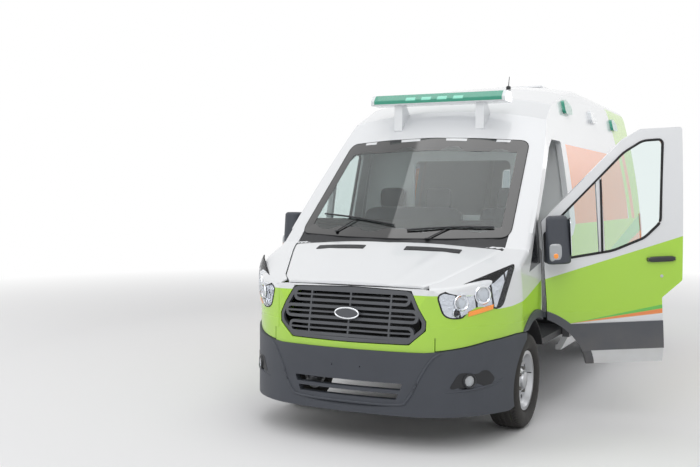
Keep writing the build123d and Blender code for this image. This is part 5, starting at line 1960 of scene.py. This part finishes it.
@dataclass
class Studio:
    """Floor, lamps and the photograph's camera."""

    focal_px: float = 927.2
    width_px: float = 700.0
    azimuth: float = 26.11
    elevation: float = -2.247
    roll: float = 0.31
    eye: tuple[float, float, float] = (2.757, -5.579, 1.674)
    sensor: float = 36.0
    world: float = 0.52
    aim: tuple[float, float, float] = (0.0, -1.0, 0.2)
    floor_half: float = 60.0
    # name, place, size and power
    lights: tuple[tuple[str, tuple[float, float, float], float, float], ...] = (
        ("key", (3.5, -11.0, 7.5), 7.0, 330.0),
        ("fill", (-8.0, -7.0, 4.5), 7.0, 190.0),
        ("top", (0.0, -2.0, 9.5), 8.0, 240.0),
        ("back", (6.0, 9.0, 5.5), 6.0, 190.0),
    )

    def camera(self) -> None:
        """Places the camera by its azimuth, elevation and roll, aimed along the view of the photograph."""
        a, e, r = (math.radians(v) for v in (self.azimuth, self.elevation, self.roll))
        forward = Vector((-math.sin(a) * math.cos(e), math.cos(a) * math.cos(e), math.sin(e)))
        right = Vector((math.cos(a), math.sin(a), 0.0))
        upward = right.cross(forward)
        turned_right = right * math.cos(r) + upward * math.sin(r)
        turned_up = upward * math.cos(r) - right * math.sin(r)
        data = bpy.data.cameras.new("camera")
        data.sensor_width = self.sensor
        data.lens = self.focal_px / self.width_px * self.sensor
        data.clip_end = 200.0
        cam = bpy.data.objects.new("camera", data)
        matrix = Matrix((turned_right, turned_up, -forward)).transposed().to_4x4()
        x, y, z = self.eye
        matrix.translation = Vector((x, aft(y), up(z)))
        cam.matrix_world = matrix
        bpy.context.scene.collection.objects.link(cam)
        bpy.context.scene.camera = cam

    def white_to_camera(self, tree: bpy.types.NodeTree, lit: float) -> Socket:
        """A strength of 1 for camera, glossy and transmission rays, and another for light on the object.

        Args:
            tree: the world's nodes.
            lit: the strength for light on the object.

        Returns:
            The strength.
        """
        path = tree.nodes.new("ShaderNodeLightPath")
        total = path.outputs["Is Camera Ray"]
        for name in ("Is Transmission Ray", "Is Glossy Ray"):
            more = tree.nodes.new("ShaderNodeMath")
            more.operation = "MAXIMUM"
            tree.links.new(total, more.inputs[0])
            tree.links.new(path.outputs[name], more.inputs[1])
            total = more.outputs[0]
        strength = tree.nodes.new("ShaderNodeMapRange")
        strength.inputs["To Min"].default_value = lit
        strength.inputs["To Max"].default_value = 1.0
        tree.links.new(total, strength.inputs["Value"])
        return strength.outputs[0]

    def lamps(self) -> None:
        """Soft area lamps and an even white world."""
        scene = bpy.context.scene
        world = bpy.data.worlds.new("world")
        world.use_nodes = True
        tree = world.node_tree
        background = tree.nodes["Background"]
        tree.links.new(self.white_to_camera(tree, self.world), background.inputs["Strength"])
        background.inputs["Color"].default_value = (1.0, 1.0, 1.0, 1.0)
        scene.world = world
        for name, place, size, power in self.lights:
            data = bpy.data.lights.new(name, "AREA")
            data.energy = power
            data.size = size
            lamp = bpy.data.objects.new(name, data)
            lamp.location = place
            lamp.rotation_mode = "QUATERNION"
            lamp.rotation_quaternion = (Vector(self.aim) - Vector(place)).to_track_quat("-Z", "Y")
            scene.collection.objects.link(lamp)
        scene.view_settings.view_transform = "Standard"

    def floor(self) -> None:
        """Plain pale floor under the tyres, whose far part fades into the white world."""
        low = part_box("front_left_tyre")[0].z
        half = self.floor_half
        mesh = bpy.data.meshes.new("floor")
        corners = [(x * half, y * half, low) for x, y in ((-1, -1), (1, -1), (1, 1), (-1, 1))]
        mesh.from_pydata(corners, [], [(0, 1, 2, 3)])
        floor = bpy.data.objects.new("floor", mesh)
        bpy.context.scene.collection.objects.link(floor)
        shader = Shader("floor")
        shader.set(Base_Color=(0.84, 0.84, 0.85), Roughness=0.95)
        length = shader.node("VectorMath", operation="LENGTH")
        shader.feed(shader.point, length.inputs[0])
        far = shader.above(length.outputs["Value"], 9.0, 3.5)
        glow = shader.node("Emission")
        glow.inputs["Color"].default_value = (1.0, 1.0, 1.0, 1.0)
        mix = shader.node("MixShader")
        output = shader.tree.nodes["Material Output"]
        shader.feed(far, mix.inputs[0])
        shader.tree.links.new(shader.surface.outputs[0], mix.inputs[1])
        shader.tree.links.new(glow.outputs[0], mix.inputs[2])
        shader.tree.links.new(mix.outputs[0], output.inputs["Surface"])
        mesh.materials.append(shader.material)


def dress_nodes(door: OpenDoor) -> Material:
    """Gives every CAD node that shows its material.

    Args:
        door: the left door's turn.

    Returns:
        The livery, for the new panels.
    """
    livery = Livery()
    paint = livery.build("livery_paint")
    lamps = LampFinishes()
    sides = ("left_side", "right_side", "sliding_door", "left_wing", "right_wing")
    doors = ("right_front_door", "left_rear_door", "right_rear_door")
    dress((*sides, *doors, "cab_frame", "front_panel", "high_roof", "bonnet", "roof_vent"), paint)
    dress(("left_front_door",), livery.build("livery_paint_open_door", door.back()))
    dress(("front_bumper", "rear_step", "left_mirror", "right_mirror"), TRIM_GREY.build())
    dress(("grille",), GRILLE_GREY.build())
    dress(("chassis_frame", "fuel_tank", "radiator", "cab_floor"), DARK_METAL.build())
    dress(("windscreen", "left_front_glass", "right_front_glass"), GLASS.build())
    dress(("sliding_door_glass", "left_rear_glass", "right_rear_glass"), DARK_GLASS.build())
    dress(("front_lamps",), LENS.build())
    dress(("light_bar",), lamps.light_bar())
    dress(("side_lamps",), lamps.side_lamps())
    dress(("tail_lamps",), lamps.tail())
    dress([f"{corner}_wheel" for corner in CORNERS], WHEEL_SILVER.build())
    dress(("engine", "front_subframe", "left_knuckle", "right_knuckle", "rear_axle"), CAST.build())
    dress(("dashboard", "steering_wheel"), CAB_PLASTIC.build())
    dress(("load_floor",), FLOOR_VINYL.build())
    dress(("patient_cabinet", "bulkhead"), LAMINATE.build())
    dress(("driver_seat", "passenger_bench", "attendant_bench"), RUBBER.build())
    dress([f"{corner}_tyre" for corner in CORNERS], RUBBER.build())
    return paint


def main() -> None:
    """Builds the ambulance's looks."""
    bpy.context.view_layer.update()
    studio = Studio()
    studio.camera()
    studio.lamps()
    studio.floor()
    door = OpenDoor()
    paint = dress_nodes(door)
    for corner, (side, axle) in CORNERS.items():
        Tyre().build(f"{corner}_tyre", f"{corner}_wheel", side.value * HALF_TRACK, axle)
        WheelCentre().build(f"{corner}_wheel", side, axle)
    Windscreen().build()
    Bonnet().build(paint)
    WingSkins().build(paint)
    lamps = Headlamps()
    lamps.build()
    BumperTrim().build(lamps)
    ScreenGlass().build()
    Grille().build()
    DoorFurniture().build(door)
    Cushions().build()
    Roof().build()
    Rear().build()


if __name__ == "__main__":
    logging.basicConfig(level=logging.INFO, format="%(message)s")
    main()
